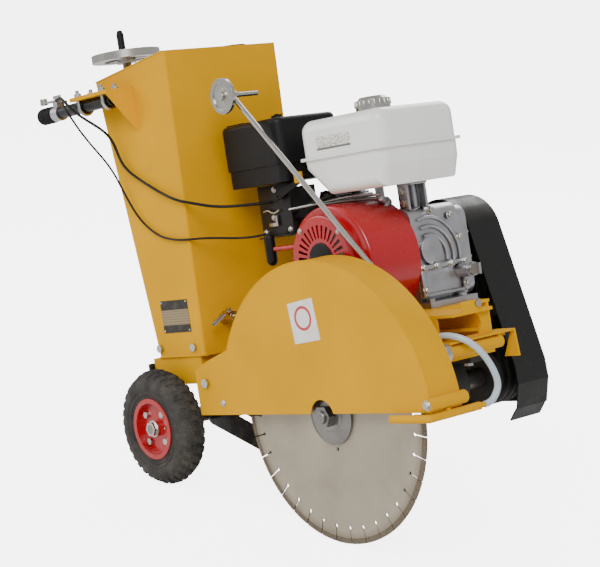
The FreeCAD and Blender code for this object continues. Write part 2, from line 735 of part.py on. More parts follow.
def engine_deck():
    """The folded plate under the engine, slotted so that the engine can slide to tension the belts."""
    rear, front, top, sheet = D.deck_rear, D.deck_front, D.deck_top, D.plate
    right, left = D.deck_right, D.deck_left
    web = (D.rail_top, top - sheet)
    tension = cut(box((front - 6, front), (112, 160), (top, top + 18)),
                  round_bar("X", (150, top + 11), (front - 8, front + 2), 4.05))
    waist = plate([(156, 116), (188, 116), (182, 138), (188, 159), (156, 159), (164, 138)], (256, 262), "X")
    top_plate = join(box((rear, D.deck_step), (right, left), (top - sheet, top)),
                     box((D.deck_step - 1, front), (right, D.deck_nose_left), (top - sheet, top)))
    webs = [
        box((rear, D.rail_right_front), (right, right + sheet), web),
        box((rear, D.rail_front), (D.rail_left - sheet, D.rail_left), web),
    ]
    half = D.deck_slot_length / 2
    slots = []
    for x, y in ENGINE_BOLTS:
        width = D.deck_slot_width / 2
        slots.append(box((x - half, x + half), (y - width, y + width), (top - sheet - 1, top + 1)))
    keep(join(cut(join(top_plate, *webs), *slots), tension, waist), "engine_deck")


def bearing_block(low, high):
    """A pillow block hung under the belly plate."""
    foot = D.rail_foot
    body = slab((0, 0), (0, foot - 26), 40, 26)
    base = box((-88, 88), (low, high), (foot - 16, foot))
    tools = [round_bar("Y", (0, 0), (sized(low) - 1, sized(high) + 1), D.spindle_radius + D.fit)]
    middle = (sized(low) + high) / 2
    tools += [round_bar("Z", (x, middle), (30, 70), 6.05) for x in (-65, 65)]
    return cut(join(plate(body, (low, high)), base), *tools)


def bearing_blocks():
    """The two spindle bearings."""
    keep(group(bearing_block(74, 112), bearing_block(296, 334)), "bearing_blocks")


# ---- wheels ----------------------------------------------------------------------------------------------


def tyre(label, left):
    """A pneumatic tyre: a hollow round carcass open towards the rim."""
    bead = D.rim_barrel_radius + D.fit
    middle = D.tyre_section_radius
    outer = D.tyre_radius - middle
    inner = outer - D.tyre_wall
    lip = middle - on_circle(outer, 24)
    inside = middle - on_circle(inner, 15)
    keep(lathe([
        (bead, -15), (bead, -24), (lip, -24), (lip, 24, middle, 0, outer, True), (bead, 24), (bead, 15),
        (inside, 15), (inside, -15, middle, 0, inner, False),
    ]), label, (D.axle_back, left, D.axle_height))


def rim(label, left, out):
    """A pressed rim with a dished web, turned so that out points to its outer side."""
    flange, barrel, sheet, hub = D.rim_flange, D.rim_barrel_radius, D.rim_sheet, D.hub_radius
    wall, edge, bore = barrel - sheet, flange + sheet, D.axle_radius + D.fit
    web = D.rim_dish_depth
    corners = [
        (D.rim_radius, edge), (D.rim_radius, flange), (barrel, flange), (barrel, -flange),
        (D.rim_radius, -flange), (D.rim_radius, -edge), (wall, -edge), (wall, web), (hub, web), (hub, -24),
        (bore, -24), (bore, 24), (hub, 24), (hub, web + 3), (wall, web + 3), (wall, edge),
    ]
    turned = lathe([(radius, along * out) for radius, along in corners])
    holes = [round_bar("Y", at, (-40, 40), D.rim_bolt_radius + D.fit) for at in rim_bolt_places()]
    keep(cut(turned, *holes), label, (D.axle_back, left, D.axle_height))


def rim_bolt_places():
    """The four bolt places of a rim, around its own axis."""
    radius = D.rim_bolt_circle
    diagonal = radius * math.sqrt(0.5)
    return [(x * diagonal, z * diagonal) for x in (-1, 1) for z in (-1, 1)]


def rim_bolts(label, left, out):
    """The four bolts that clamp the two halves of a rim."""
    face = (D.rim_dish_depth + 3) * out
    back = D.rim_dish_depth * out
    pieces = []
    for at in rim_bolt_places():
        nut = sorted((back, back - 5 * out), key=lambda size: size.value)
        pieces.append(join(bolt("Y", at, face, -10 * out, D.rim_bolt_radius, 13, -6 * out),
                           hexagon("Y", at, nut, 13)))
    keep(group(*pieces), label, (D.axle_back, left, D.axle_height))


def rear_axle():
    """The solid rear axle."""
    keep(group(round_bar("Y", AXLE, (D.wheel_right - 34, D.wheel_left + 34), D.axle_radius)), "rear_axle")


def axle_nuts():
    """A washer and a nut outside each rear wheel."""
    pieces = []
    for side, out in ((D.wheel_right, -1), (D.wheel_left, 1)):
        ends = sorted((side + 24.3 * out, side + 26.3 * out), key=lambda size: size.value)
        cap = sorted((side + 26.3 * out, side + 34 * out), key=lambda size: size.value)
        whole = join(round_bar("Y", AXLE, ends, 18), hexagon("Y", AXLE, cap, 27))
        pieces.append(cut(whole, round_bar("Y", AXLE, (side - 40, side + 40), D.axle_radius + D.fit)))
    keep(group(*pieces), "axle_nuts")


def front_wheel(label, low):
    """A small solid wheel of the lowering arm."""
    outer, half = D.front_wheel_radius, D.front_wheel_width / 2
    bore = D.front_axle_radius + D.fit
    keep(lathe([
        (bore, -half), (20, -half), (24, -half + 7), (48, -half + 7), (52, -half), (outer - 4, -half),
        (outer, -half + 4), (outer, half - 4), (outer - 4, half), (52, half), (48, half - 7), (24, half - 7),
        (20, half), (bore, half),
    ]), label, (D.front_wheel_forward, low + half, D.front_wheel_height))


def front_arm():
    """The swing arm on the rear axle: two cheeks, a sleeve, the front axle and the lever to the screw."""
    wheel = (D.front_wheel_forward, D.front_wheel_height)
    right, left, sheet = D.arm_right, D.arm_left, D.plate
    cheeks = [
        plate(slab(AXLE, wheel, D.arm_half_width + 4, D.arm_half_width), ends)
        for ends in ((right, right + sheet), (left, left + sheet))
    ]
    sleeve = round_bar("Y", AXLE, (right, left + sheet), D.sleeve_radius)
    axle = round_bar("Y", wheel, (D.front_wheel_right - 5, D.front_wheel_left + D.front_wheel_width + 5),
                     D.front_axle_radius)
    caps = [
        round_bar("Y", wheel, (D.front_wheel_right - 5, D.front_wheel_right - 1), 12),
        round_bar("Y", wheel, (D.front_wheel_left + D.front_wheel_width + 1,
                               D.front_wheel_left + D.front_wheel_width + 5), 12),
    ]
    brace = round_bar("Y", (-300, -92.5), (right, left + sheet), 10)
    lever = box((-700, -506), (105, 153), (-25, -5))
    slot = box((-690, -644), (117, 141), (-30, 0))
    neck = box((-632, -530), (100, 117), (-30, 0))
    neck_far = box((-632, -530), (141, 158), (-30, 0))
    bore = round_bar("Y", AXLE, (right - 1, left + sheet + 1), D.axle_radius + D.fit)
    keep(cut(join(*cheeks, sleeve, axle, *caps, brace, cut(lever, slot, neck, neck_far)), bore), "front_arm")


# ---- depth control ---------------------------------------------------------------------------------------

SCREW = (D.screw_back, D.screw_left)
KNOB = (D.screw_back + D.knob_forward, D.screw_left + D.knob_right)


def depth_screw():
    """The long screw that lowers and raises the front arm, with a collar under the tank's bracket."""
    rod = round_bar("Z", SCREW, (D.screw_foot, D.screw_top), D.screw_radius)
    collar = round_bar("Z", SCREW, (731, 745), 17)
    keep(join(rod, collar), "depth_screw")


def handwheel():
    """The depth handwheel: flat rim, three spokes, hub and the stud of its knob."""
    top, bar = D.handwheel_height, D.handwheel_bar
    rim_inner = D.handwheel_radius - 26
    ring = pipe("Z", SCREW, (top - bar / 2, top + bar / 2), D.handwheel_radius, rim_inner)
    hub = round_bar("Z", SCREW, (top - 16, top + 12), 22)
    spokes = []
    for number in range(3):
        angle = math.radians(120 * number + 65)
        spoke = bind(new("Part::Box"), Length=rim_inner + 4, Width=22, Height=bar - 3)
        turn = FreeCAD.Rotation(V(0, 0, 1), math.degrees(angle))
        corner = (SCREW[0] + 11 * math.sin(angle), SCREW[1] - 11 * math.cos(angle), top - bar / 2 + 1)
        spokes.append(put(spoke, *corner, turn))
    stud = round_bar("Z", KNOB, (top, top + bar / 2 + D.knob_height - 2), 4)
    bore = round_bar("Z", SCREW, (top - 20, top + 20), D.screw_radius + D.fit)
    keep(cut(join(ring, hub, *spokes, stud), bore), "handwheel")


def handwheel_knob():
    """The spinning knob on the handwheel's rim."""
    foot = D.handwheel_height + D.handwheel_bar / 2 + 0.5
    body = join(round_bar("Z", KNOB, (foot, foot + D.knob_height - 8), D.knob_radius),
                cone("Z", KNOB, (foot + D.knob_height - 8, foot + D.knob_height), (D.knob_radius, 5)))
    keep(cut(body, round_bar("Z", KNOB, (foot - 1, foot + D.knob_height - 2), 4 + D.fit)), "handwheel_knob")


# ---- water tank ------------------------------------------------------------------------------------------


def wall_x(front, height, inset):
    """Where the tank's leaning front or rear wall stands at a height, moved inwards by the inset."""
    height = sized(height)
    foot, top, top_height = (D.tank_foot_rear, D.tank_top_rear, D.tank_top_rear_height)
    if front:
        foot, top, top_height = (D.tank_foot_front, D.tank_top_front, D.tank_top_front_height)
    at = foot + (top - foot) * (height - D.cradle_top) / (top_height - D.cradle_top)
    return at - inset if front else at + inset


def tank_profile(low, drop, inset):
    """The tank's side view from a height up to its sloping top, less the drop and the inset."""
    front_top = D.tank_top_front_height - drop
    rear_top = D.tank_top_rear_height - drop
    return [
        (wall_x(False, low, inset), low), (wall_x(True, low, inset), low),
        (wall_x(True, front_top, inset), front_top), (wall_x(False, rear_top, inset), rear_top),
    ]


def tank_skirt(low, high, inset):
    """The open foot of the tank, below its floor."""
    return [
        (wall_x(False, low, inset), low), (wall_x(True, low, inset), low),
        (wall_x(True, high, inset), high), (wall_x(False, high, inset), high),
    ]


SIDE_BARS = (-D.bar_out, D.tank_width + D.bar_out)
U_BOLT_PLACES = (-600, -510)
U_BOLT_REACH = D.bar_radius + D.u_bolt_radius + 0.1


def handle_bracket(low, high, tip, root_y):
    """The shelf over one handlebar, with its end gusset."""
    top, sheet = D.bracket_top, D.bracket_sheet
    gusset = plate([(tip, top - sheet), (root_y, top - sheet), (root_y, top - 95)], (-486, -480), "X")
    return join(box((-620, -480), (low, high), (top - sheet, top)), gusset)


def water_tank():
    """The tall folded tank, with its floor, filler neck, handle brackets and screw bracket."""
    wall, width, out = D.tank_wall, D.tank_width, D.bracket_out
    shell = plate(tank_profile(D.cradle_top, 0, 0), (0, width))
    soften(shell, 5, lambda edge: edge.BoundBox.ZLength > 400)
    room = plate(tank_profile(168, wall, wall), (wall, width - wall))
    skirt = plate(tank_skirt(120, 165, wall), (wall, width - wall))
    filler = (D.filler_back, D.filler_left)
    neck = round_bar("Z", filler, (742, D.filler_top), D.filler_radius)
    mouth = round_bar("Z", filler, (735, D.filler_top + 1), D.filler_radius - wall)
    lug = box((-690, -608), (109, 149), (716, 730))
    brackets_right = handle_bracket(-out, 1.5, -out, 1.5)
    brackets_left = handle_bracket(width - 1.5, width + out, width + out, width - 1.5)
    tools = [mouth, round_bar("Z", SCREW, (700, 740), D.screw_radius + D.fit)]
    tools += [round_bar("Y", at, (-1, width + 1), 5.05) for at in TANK_BOLTS]
    tools += [round_bar("Z", at, (680, 700), D.u_bolt_radius + D.fit) for at in u_bolt_legs()]
    whole = join(cut(shell, room, skirt), neck, lug, brackets_right, brackets_left)
    keep(cut(whole, *tools), "water_tank")


def u_bolt_legs():
    """The (x, y) places of every U-bolt leg."""
    return [(x, y + side * U_BOLT_REACH) for x in U_BOLT_PLACES for y in SIDE_BARS for side in (-1, 1)]


def tank_cap():
    """The screw cap on the filler neck."""
    filler, top = (D.filler_back, D.filler_left), D.filler_top
    lid = round_bar("Z", filler, (top + 0.1, top + 10), D.filler_radius + 3)
    rim_ring = pipe("Z", filler, (top - 2, top + 1), D.filler_radius + 3, D.filler_radius + D.fit)
    keep(join(lid, rim_ring), "tank_cap")


def rating_plate():
    """The thin maker's plate riveted to the tank's right side."""
    keep(group(box((-501, -407), (-1.2, 0), (177, 245))), "rating_plate")


# ---- water supply ----------------------------------------------------------------------------------------

VALVE = (D.valve_stem_back, D.valve_left, D.valve_height)
VALVE_LEAN = FreeCAD.Rotation(V(1, 0, 0), D.valve_lean_degrees.value)


def valve_body():
    """The ball valve on the tank's front wall, with a leaning stem."""
    across = (D.valve_left, D.valve_height)
    inlet = hexagon("X", across, (-371.5, -359), 24)
    ball = round_bar("X", across, (-360, -334), 12)
    outlet_hex = hexagon("X", across, (-334.5, -329), 20)
    outlet = round_bar("X", across, (-330, -318), 7)
    stem = put(bind(new("Part::Cylinder"), Radius=4, Height=21), *VALVE, VALVE_LEAN)
    keep(join(inlet, ball, outlet_hex, outlet, stem), "valve_body")


def valve_lever():
    """The flat quarter-turn lever with its soft sleeve."""
    hub = round_bar("Z", (0, 0), (14, 18), 8)
    arm = box((-5, 5), (-46, 0), (15, 17.5))
    sleeve = round_bar("Y", (0, 16.2), (-50, -16), 4.5)
    bore = round_bar("Z", (0, 0), (10, 22), 4 + D.fit)
    keep(cut(join(hub, arm, sleeve), bore), "valve_lever", VALVE, VALVE_LEAN)


def water_hose():
    """The clear hose from the valve, along the right rail and round the front to the spray pipe."""
    left, height = D.valve_left, D.valve_height
    path = [
        (-317, left, height), (-306, left, height), (-286, left, height - 3), (-250, 64, 170), (-200, 71, 135),
        (-120, 73, 124), (0, 73, 122), (100, 73, 122), (180, 73.5, 124), (228, 75, 127), (262, 80, 127),
        (288, 93, 115), (302, 111, 91), (308, 128, 58),
        (309, 134, 28), (305, 124, 6), (301, 112, -2), (300, D.spray_left + 18.5, D.spray_height),
    ]
    keep(swept(path, D.hose_radius, D.hose_bore_radius), "water_hose")


# ---- handlebars ------------------------------------------------------------------------------------------


def handlebar(label, left):
    """One straight tubular handlebar."""
    outer = D.bar_radius
    keep(pipe("X", (left, D.bar_height), (D.bar_rear, D.bar_front), outer, outer - D.bar_wall), label)


def grip(label, left):
    """The rubber grip pulled over the end of a handlebar."""
    across = (left, D.bar_height)
    sleeve = round_bar("X", across, (D.grip_rear, D.grip_front), D.grip_radius)
    bore = round_bar("X", across, (D.bar_rear - D.fit, D.grip_front + 1), D.bar_radius + D.fit)
    keep(cut(sleeve, bore), label)


def u_bolt(x, left):
    """One U-bolt round a handlebar, with its two nuts on the bracket."""
    height, thick, reach, end = D.bar_height, D.u_bolt_radius, U_BOLT_REACH, 712
    near, far = left - reach, left + reach
    corners = [V(x, near, end), V(x, near, height), V(x, far, height), V(x, far, end)]
    bend = Part.Arc(corners[1], V(x, left, height - reach), corners[2]).toShape()
    spine = Part.Wire([Part.makeLine(corners[0], corners[1]), bend, Part.makeLine(corners[2], corners[3])])
    ring = Part.Wire([Part.makeCircle(thick.value, corners[0], V(0, 0, -1))])
    rod = new("Part::Feature", "UBolt")
    rod.Shape = spine.makePipeShell([ring], True, False)
    nuts = [hexagon("Z", (x, left + side * reach), (D.bracket_top, D.bracket_top + 7), 13) for side in (-1, 1)]
    return join(rod, *nuts)


def handle_u_bolts():
    """The four U-bolts that hold the handlebars."""
    keep(group(*[u_bolt(x, left) for x in U_BOLT_PLACES for left in SIDE_BARS]), "handle_u_bolts")


THROTTLE = (-706, -D.bar_out)


def throttle_clamp():
    """The clamp on the right handlebar, with the throttle's stud and wing nut."""
    across = (-D.bar_out, D.bar_height)
    ring = cut(round_bar("X", across, (-718, -694), D.grip_radius),
               round_bar("X", across, (-720, -692), D.bar_radius + D.fit))
    x, y = THROTTLE
    boss = box((x - 8, x + 8), (y - 8, y + 8), (692, 702))
    stud = round_bar("Z", THROTTLE, (700, 716), 3)
    collar = round_bar("Z", THROTTLE, (707, 712), 6)
    wings = box((x - 14, x + 14), (y - 1.5, y + 1.5), (709, 716))
    keep(join(ring, boss, stud, collar, wings), "throttle_clamp")


def throttle_lever():
    """The throttle's flat lever and its round knob."""
    tip = (-745, -52)
    arm = plate(slab(THROTTLE, tip, 9, 5), (702.2, 706.5), "Z")
    knob = round_bar("Z", tip, (700, 714), 8)
    keep(cut(join(arm, knob), round_bar("Z", THROTTLE, (698, 710), 3 + D.fit)), "throttle_lever")


def throttle_cable():
    """The throttle cable: over the bracket, down the tank's right side and in to the carburetor."""
    path = [
        (-693, -54, 703), (-665, -62, 705), (-636, -73, 697), (-606, -75, 674), (-580, -58, 645),
        (-563, -18, 600), (-552, -9, 553), (-494, -8, 504), (-415, -8, 464), (-364, -8, 446),
        (-335, 2, 437), (-290, 24, 424), (-250, 66, 418), (-224, 111, 416),
    ]
    keep(swept(path, 3), "throttle_cable")


# ---- engine ----------------------------------------------------------------------------------------------

LEAN = D.cylinder_lean_degrees
ALONG_CYLINDER = V(-cosine(LEAN), 0, sine(LEAN))


def rounded(u, v, radius):
    """The corners of a rectangle with round corners."""
    (u1, u2), (v1, v2) = [(sized(low), sized(high)) for low, high in (u, v)]
    return [
        (u1 + radius, v1), (u2 - radius, v1), (u2, v1 + radius, u2 - radius, v1 + radius, radius, True),
        (u2, v2 - radius), (u2 - radius, v2, u2 - radius, v2 - radius, radius, True),
        (u1 + radius, v2), (u1, v2 - radius, u1 + radius, v2 - radius, radius, True),
        (u1, v1 + radius), (u1 + radius, v1, u1 + radius, v1 + radius, radius, True),
    ][1:]


def on_cylinder(along, over=0):
    """The (x, z) of a point along the leaning cylinder and square to it; over counts downwards."""
    along, over = sized(along), sized(over)
    return (D.crank_back - along * cosine(LEAN) - over * sine(LEAN),
            D.crank_height + along * sine(LEAN) - over * cosine(LEAN))


def leaning_box(along, left, over):
    """A block in the cylinder's own directions: along its axis, across Y, and square to both."""
    made = bind(new("Part::Box"), Length=along[1] - sized(along[0]), Width=left[1] - sized(left[0]),
                Height=over[1] - sized(over[0]))
    x, z = on_cylinder(along[0], over[0])
    return put(made, x, left[0], z, FreeCAD.Rotation(V(0, 1, 0), 180 + LEAN.value))


def leaning_bar(along, left, over, radius):
    """A cylinder parallel to the engine's leaning cylinder."""
    made = bind(new("Part::Cylinder"), Radius=radius, Height=along[1] - sized(along[0]))
    x, z = on_cylinder(along[0], over)
    return put(made, x, left, z, FreeCAD.Rotation(V(0, 0, 1), ALONG_CYLINDER))


def crankcase():
    """The crankcase with its feet, leaning barrel, crank chamber, filler boss and fuel-tank posts."""
    right, left = D.case_right, D.case_left
    body = plate(rounded((D.case_rear, D.case_front), (D.deck_top, D.case_top), 24), (right, left))
    feet = box((D.foot_rear, D.foot_front), (right, left), (D.deck_top, D.foot_top))
    barrel = leaning_bar((40, D.head_near), D.cylinder_left, 0, 54)
    boss = round_bar("X", (D.dipstick_left, D.dipstick_height), (D.case_front - 4, D.case_front + 36), 15)
    posts = [round_bar("Z", at, (D.case_top - 4, D.fuel_foot), 9) for at in ((-34, 236), (34, 236), (34, 262))]
    tools = [
        round_bar("Y", CRANK, (right + 10, left + 1), D.chamber_radius),
        round_bar("Y", CRANK, (right - 1, right + 11), D.crank_radius + D.fit),
        leaning_bar((0, D.head_near + 1), D.cylinder_left, 0, 44),
        round_bar("X", (D.dipstick_left, D.dipstick_height), (28, D.case_front + 37), 5 + D.fit),
    ]
    tools += [round_bar("Z", at, (D.deck_top - 1, D.foot_top + 1), 5 + D.fit) for at in ENGINE_BOLTS]
    keep(cut(join(body, feet, barrel, boss, *posts), *tools), "crankcase")


def crankcase_cover():
    """The side cover that closes the crankcase towards the belts."""
    left, far = D.case_left, D.cover_left
    body = plate(rounded((D.case_rear, D.case_front), (D.foot_top, D.case_top - 8), 24), (left, far))
    soften(body, 6, lambda edge: edge.BoundBox.YMin > D.cover_left.value - 0.01)
    boss = round_bar("Y", CRANK, (left + 4, far + 12), 28)
    keep(cut(join(body, boss), round_bar("Y", CRANK, (left - 1, far + 13), D.crank_radius + D.fit)),
         "crankcase_cover")


def cylinder_head():
    """The finned head on the leaning barrel, with its exhaust port."""
    near, far, half = D.head_near, D.head_far, D.head_half_width
    left = D.cylinder_left
    core = leaning_box((near, far), (left - half + 8, left + half - 8), (8 - half, half - 8))
    fins = [
        leaning_box((near + 12 * number, near + 12 * number + 5), (left - half, left + half), (-half, half))
        for number in range(6)
    ]
    port = round_bar("Z", (-182, 300), (D.crank_height + 106, D.crank_height + 151), 16.05)
    keep(cut(join(core, *fins), port), "cylinder_head")


def crankshaft():
    """The crankshaft with its webs, pin and finned flywheel."""
    shaft = round_bar("Y", CRANK, (D.blower_right + 8, PULLEY_LEFT + 4), D.crank_radius)
    webs = [round_bar("Y", CRANK, ends, 50) for ends in ((240, 256), (304, 320))]
    pin = round_bar("Y", (D.crank_back + 33, D.crank_height), (250, 310), 15)
    wheel = round_bar("Y", CRANK, (D.blower_right + 22, D.blower_right + 48), D.flywheel_radius)
    fins = []
    for number in range(16):
        fin = bind(new("Part::Box"), Length=30, Width=16, Height=3)
        angle = 22.5 * number
        turn = FreeCAD.Rotation(V(0, 1, 0), -angle)
        x = D.crank_back + 62 * math.cos(math.radians(angle))
        z = D.crank_height + 62 * math.sin(math.radians(angle))
        fins.append(put(fin, x, D.blower_right + 8, z, turn))
    keep(join(shaft, *webs, pin, wheel, *fins), "crankshaft")


def blower_housing():
    """The pressed cooling-air housing, open towards the crankcase, with a round intake."""
    x, z, sheet = D.blower_back, D.blower_height, D.blower_sheet
    radius, foot = D.blower_radius, D.blower_foot

    def outline(inset):
        size = radius - inset
        half = on_circle(size, z - foot - inset)
        return [(x + half, foot + inset), (x - half, foot + inset, x, z, size, True)]

    shell = plate(outline(0), (D.blower_right, D.case_right))
    soften(shell, 6, lambda edge: edge.BoundBox.YMax < D.blower_right.value + 0.01)
    room = plate(outline(sheet), (D.blower_right + sheet, D.case_right + 1))
    intake = round_bar("Y", CRANK, (D.blower_right - 1, D.blower_right + 4), 70)
    keep(cut(shell, room, intake), "blower_housing")


def recoil_cover():
    """The starter cover: a shallow cup with a ring of radial slots, and the rope's guide tube."""
    low, high = D.recoil_right, D.blower_right
    cup = disc((0, 0), D.recoil_radius, (low, high))
    soften(cup, 6, lambda edge: edge.BoundBox.YMax < low.value + 0.01)
    pocket_ring(cup, [(-2, 42), (2, 42), (3, 68), (-3, 68)], D.recoil_slot_count, low - 1)
    room = round_bar("Y", (0, 0), (low + 3, high + 1), D.recoil_radius - 4)
    guide = pipe("X", (79, 32), (-(D.recoil_radius + 58), -(D.recoil_radius - 12)), 5, 3)
    keep(cut(join(cut(cup, room), guide), round_bar("X", (79, 32), (-100, -60), 3)), "recoil_cover",
         (D.crank_back, 0, D.crank_height))


def recoil_grip():
    """The pull grip of the starter rope."""
    at = (-207, 79)
    low, high = D.crank_height + 10, D.crank_height + 54
    bar = round_bar("Z", at, (low, high), 11)
    ends = []
    for height in (low, high):
        ball = bind(new("Part::Sphere"), Radius=11)
        ends.append(put(ball, *at, height))
    keep(join(bar, *ends), "recoil_grip")


def fuel_tank():
    """The two-part fuel tank: rounded upper shell, seam flange and a smaller lower shell."""
    x, y = (D.fuel_rear, D.fuel_front), (D.fuel_right, D.fuel_left)
    seam, radius = D.fuel_seam_height, D.fuel_corner

    def layer(inset, low, high):
        plan = rounded((x[0] + inset, x[1] - inset), (y[0] + inset, y[1] - inset), radius - inset)
        return plate(plan, (low, high), "Z")

    upper = soften(layer(4, seam, D.fuel_top), 24, lambda edge: edge.BoundBox.ZMin > D.fuel_top.value - 0.01)
    lower = plate([
        (x[0] + 5, seam), (x[0] + 9, seam - 22), (x[0] + 66, D.fuel_foot), (x[1] - 20, D.fuel_foot),
        (x[1] - 6, D.fuel_foot + 40), (x[1] - 5, seam),
    ], (y[0] + 5, y[1] - 5))
    soften(lower, 20, lambda edge: edge.BoundBox.YLength < 0.01 and edge.BoundBox.ZMin < seam.value - 1)
    flange = plate(rounded(x, y, 14), (seam - 3, seam + 3), "Z")
    cap = (D.fuel_cap_forward, D.fuel_cap_left)
    neck = round_bar("Z", cap, (D.fuel_top - 2, D.fuel_top + 8), 27)
    room = join(layer(20, seam - 14, D.fuel_top - 12),
                box((x[0] + 76, x[1] - 34), (y[0] + 24, y[1] - 24), (D.fuel_foot + 12, seam)))
    mouth = round_bar("Z", cap, (D.fuel_top - 20, D.fuel_top + 9), 24)
    keep(cut(join(upper, lower, flange, neck), room, mouth), "fuel_tank")


def fuel_cap():
    """The round fuel filler cap."""
    at, top = (D.fuel_cap_forward, D.fuel_cap_left), D.fuel_top
    skirt = pipe("Z", at, (top + 1, top + 9), 34, 27 + D.fit)
    lid = round_bar("Z", at, (top + 8.1, top + 22), 34)
    crown = cone("Z", at, (top + 22, top + 28), (30, 24))
    keep(join(skirt, lid, crown), "fuel_cap")


def air_cleaner():
    """The air cleaner's housing and cover, with the wing nut on top."""
    x, y = (D.cleaner_rear, D.cleaner_front), (D.cleaner_right, D.cleaner_left)
    base = plate(rounded(x, y, 16), (D.cleaner_foot, 488), "Z")
    cover = plate(rounded((x[0] - 4, x[1] + 4), (y[0] - 4, y[1] + 4), 20), (488, D.cleaner_top), "Z")
    soften(cover, 10, lambda edge: edge.BoundBox.ZMin > D.cleaner_top.value - 0.01)
    middle = (-221, 158)
    stud = round_bar("Z", middle, (D.cleaner_top - 1, D.cleaner_top + 12), 4)
    wings = box((-236, -206), (156, 160), (D.cleaner_top, D.cleaner_top + 10))
    room = box((-300, -142), (90, 226), (462, 568))
    throat = round_bar("Z", (-215, 155), (440, 470), 19)
    keep(cut(join(base, cover, stud, wings), room, throat), "air_cleaner")


def muffler():
    """The exhaust silencer behind the fuel tank, on its short pipe."""
    shell = plate(rounded((-300, -150), (250, 372), 24), (452, 560), "Z")
    soften(shell, 14, lambda edge: edge.BoundBox.ZMin > 559.9)
    stub = round_bar("Z", (-182, 300), (D.crank_height + 115, 454), 16)
    outlet = round_bar("Y", (-225, 520), (360, 392), 12)
    tools = [
        box((-294, -156), (256, 366), (458, 554)),
        round_bar("Z", (-182, 300), (D.crank_height + 114, 459), 13),
        round_bar("Y", (-225, 520), (350, 393), 10),
    ]
    keep(cut(join(shell, stub, outlet), *tools), "muffler")


def carburetor():
    """The carburetor with its bowl, intake elbow, spacer to the head and choke spindle."""
    body = box((-250, -180), (120, 196), (376, 440))
    bowl = round_bar("Z", (-215, 155), (346, 380), 28)
    elbow = round_bar("Z", (-215, 155), (436, D.cleaner_foot + 6), 18)
    spacer = box((-218, -176), (195, 221.9), (356, 398))
    spindle = round_bar("Y", (D.choke_back, D.choke_height), (98, 122), 3)
    keep(join(body, bowl, elbow, spacer, spindle), "carburetor")


def choke_lever():
    """The choke's small lever."""
    pivot = (D.choke_back, D.choke_height)
    arm = plate(slab(pivot, (-112, 450), 8, 5), (100, 104))
    paddle = box((-120, -106), (94, 104), (446, 466))
    keep(cut(join(arm, paddle), round_bar("Y", pivot, (90, 110), 3 + D.fit)), "choke_lever")


def spark_plug_cap():
    """The boot over the spark plug."""
    along = D.head_far + 0.2
    boot = leaning_bar((along, along + 24), 262, 10, 11)
    keep(join(boot, leaning_bar((along + 20, along + 34), 262, 10, 8)), "spark_plug_cap")


def oil_dipstick():
    """The oil filler cap with its gripping ring and stick."""
    across = (D.dipstick_left, D.dipstick_height)
    seat = D.case_front + 36.2
    head = round_bar("X", across, (seat, seat + 8), 13)
    handle = box((seat + 7, seat + 22), (D.dipstick_left - 3, D.dipstick_left + 3), (216, 238))
    stick = round_bar("X", across, (44, seat + 1), 5)
    keep(join(head, handle, stick), "oil_dipstick")


# ---- bolts -----------------------------------------------------------------------------------------------


def chassis_bolts():
    """The bolts of the tank, guard pivot, spindle bearings, engine, belt guard and belt tensioner."""
    width = D.tank_width
    pieces = [bolt("Y", at, 0, 12, 5, 16, 6) for at in TANK_BOLTS]
    pieces += [bolt("Y", at, width, -12, 5, 16, -6) for at in TANK_BOLTS]
    pieces.append(join(bolt("Y", PIVOT, D.guard_right - 0.1, 82, D.pivot_bolt_radius, 18, 7),
                       hexagon("Y", PIVOT, (D.guard_left + 0.2, D.guard_left + 7.5), 18)))
    foot = D.rail_foot
    for at in BELLY_BOLTS:
        nut = hexagon("Z", at, (foot + D.plate, foot + D.plate + 8), 18)
        pieces.append(join(bolt("Z", at, foot - 16, 34, 6, 18, 7), nut))
    for at in ENGINE_BOLTS:
        nut = hexagon("Z", at, (D.deck_top - D.plate - 8, D.deck_top - D.plate), 16)
        pieces.append(join(bolt("Z", at, D.foot_top, -30, 5, 16, -6), nut))
    pieces.append(join(bolt("Y", (-40, 137), D.belt_right - D.plate, 16, 5, 16, 6),
                       hexagon("Y", (-40, 137), (D.belt_right + D.belt_sheet, D.belt_right + 9), 16)))
    pieces.append(bolt("X", (150, D.deck_top + 11), D.deck_front, -34, 4, 13, -5))
    keep(group(*pieces), "chassis_bolts")


# ---- guide pointer ---------------------------------------------------------------------------------------


def pointer_rod():
    """The folding guide arm: eye on the cross pipe, long rod, boss and the disc's axle."""
    foot = (D.crossbar_forward, D.crossbar_height)
    tip = (D.pointer_tip_back, D.pointer_tip_height)
    left = D.pointer_left
    eye = round_bar("Y", foot, (50, 62), 18)
    run, rise = tip[0] - foot[0], tip[1] - foot[1]
    rod = bind(new("Part::Cylinder"), Radius=D.pointer_radius, Height=root(run * run + rise * rise))
    put(rod, foot[0], left, foot[1], FreeCAD.Rotation(V(0, 0, 1), V(run, 0, rise)))
    boss = round_bar("Y", tip, (46, 66), 9)
    axle = round_bar("Y", tip, (28, 123), 5)
    head = round_bar("Y", tip, (26, 30), 9)
    keep(cut(join(eye, rod, boss, axle, head), round_bar("Y", foot, (49, 63), D.crossbar_radius + D.fit)),
         "pointer_rod")


def guide_disc():
    """The sighting disc that rolls on the pointer's axle."""
    tip = (D.pointer_tip_back, D.pointer_tip_height)
    low = D.guide_disc_left - 3
    ring = round_bar("Y", tip, (low, low + 7), D.guide_disc_radius)
    groove = pipe("Y", tip, (low - 1, low + 2), D.guide_disc_radius - 8, 14)
    keep(cut(ring, groove, round_bar("Y", tip, (low - 2, low + 8), 5 + D.fit)), "guide_disc")


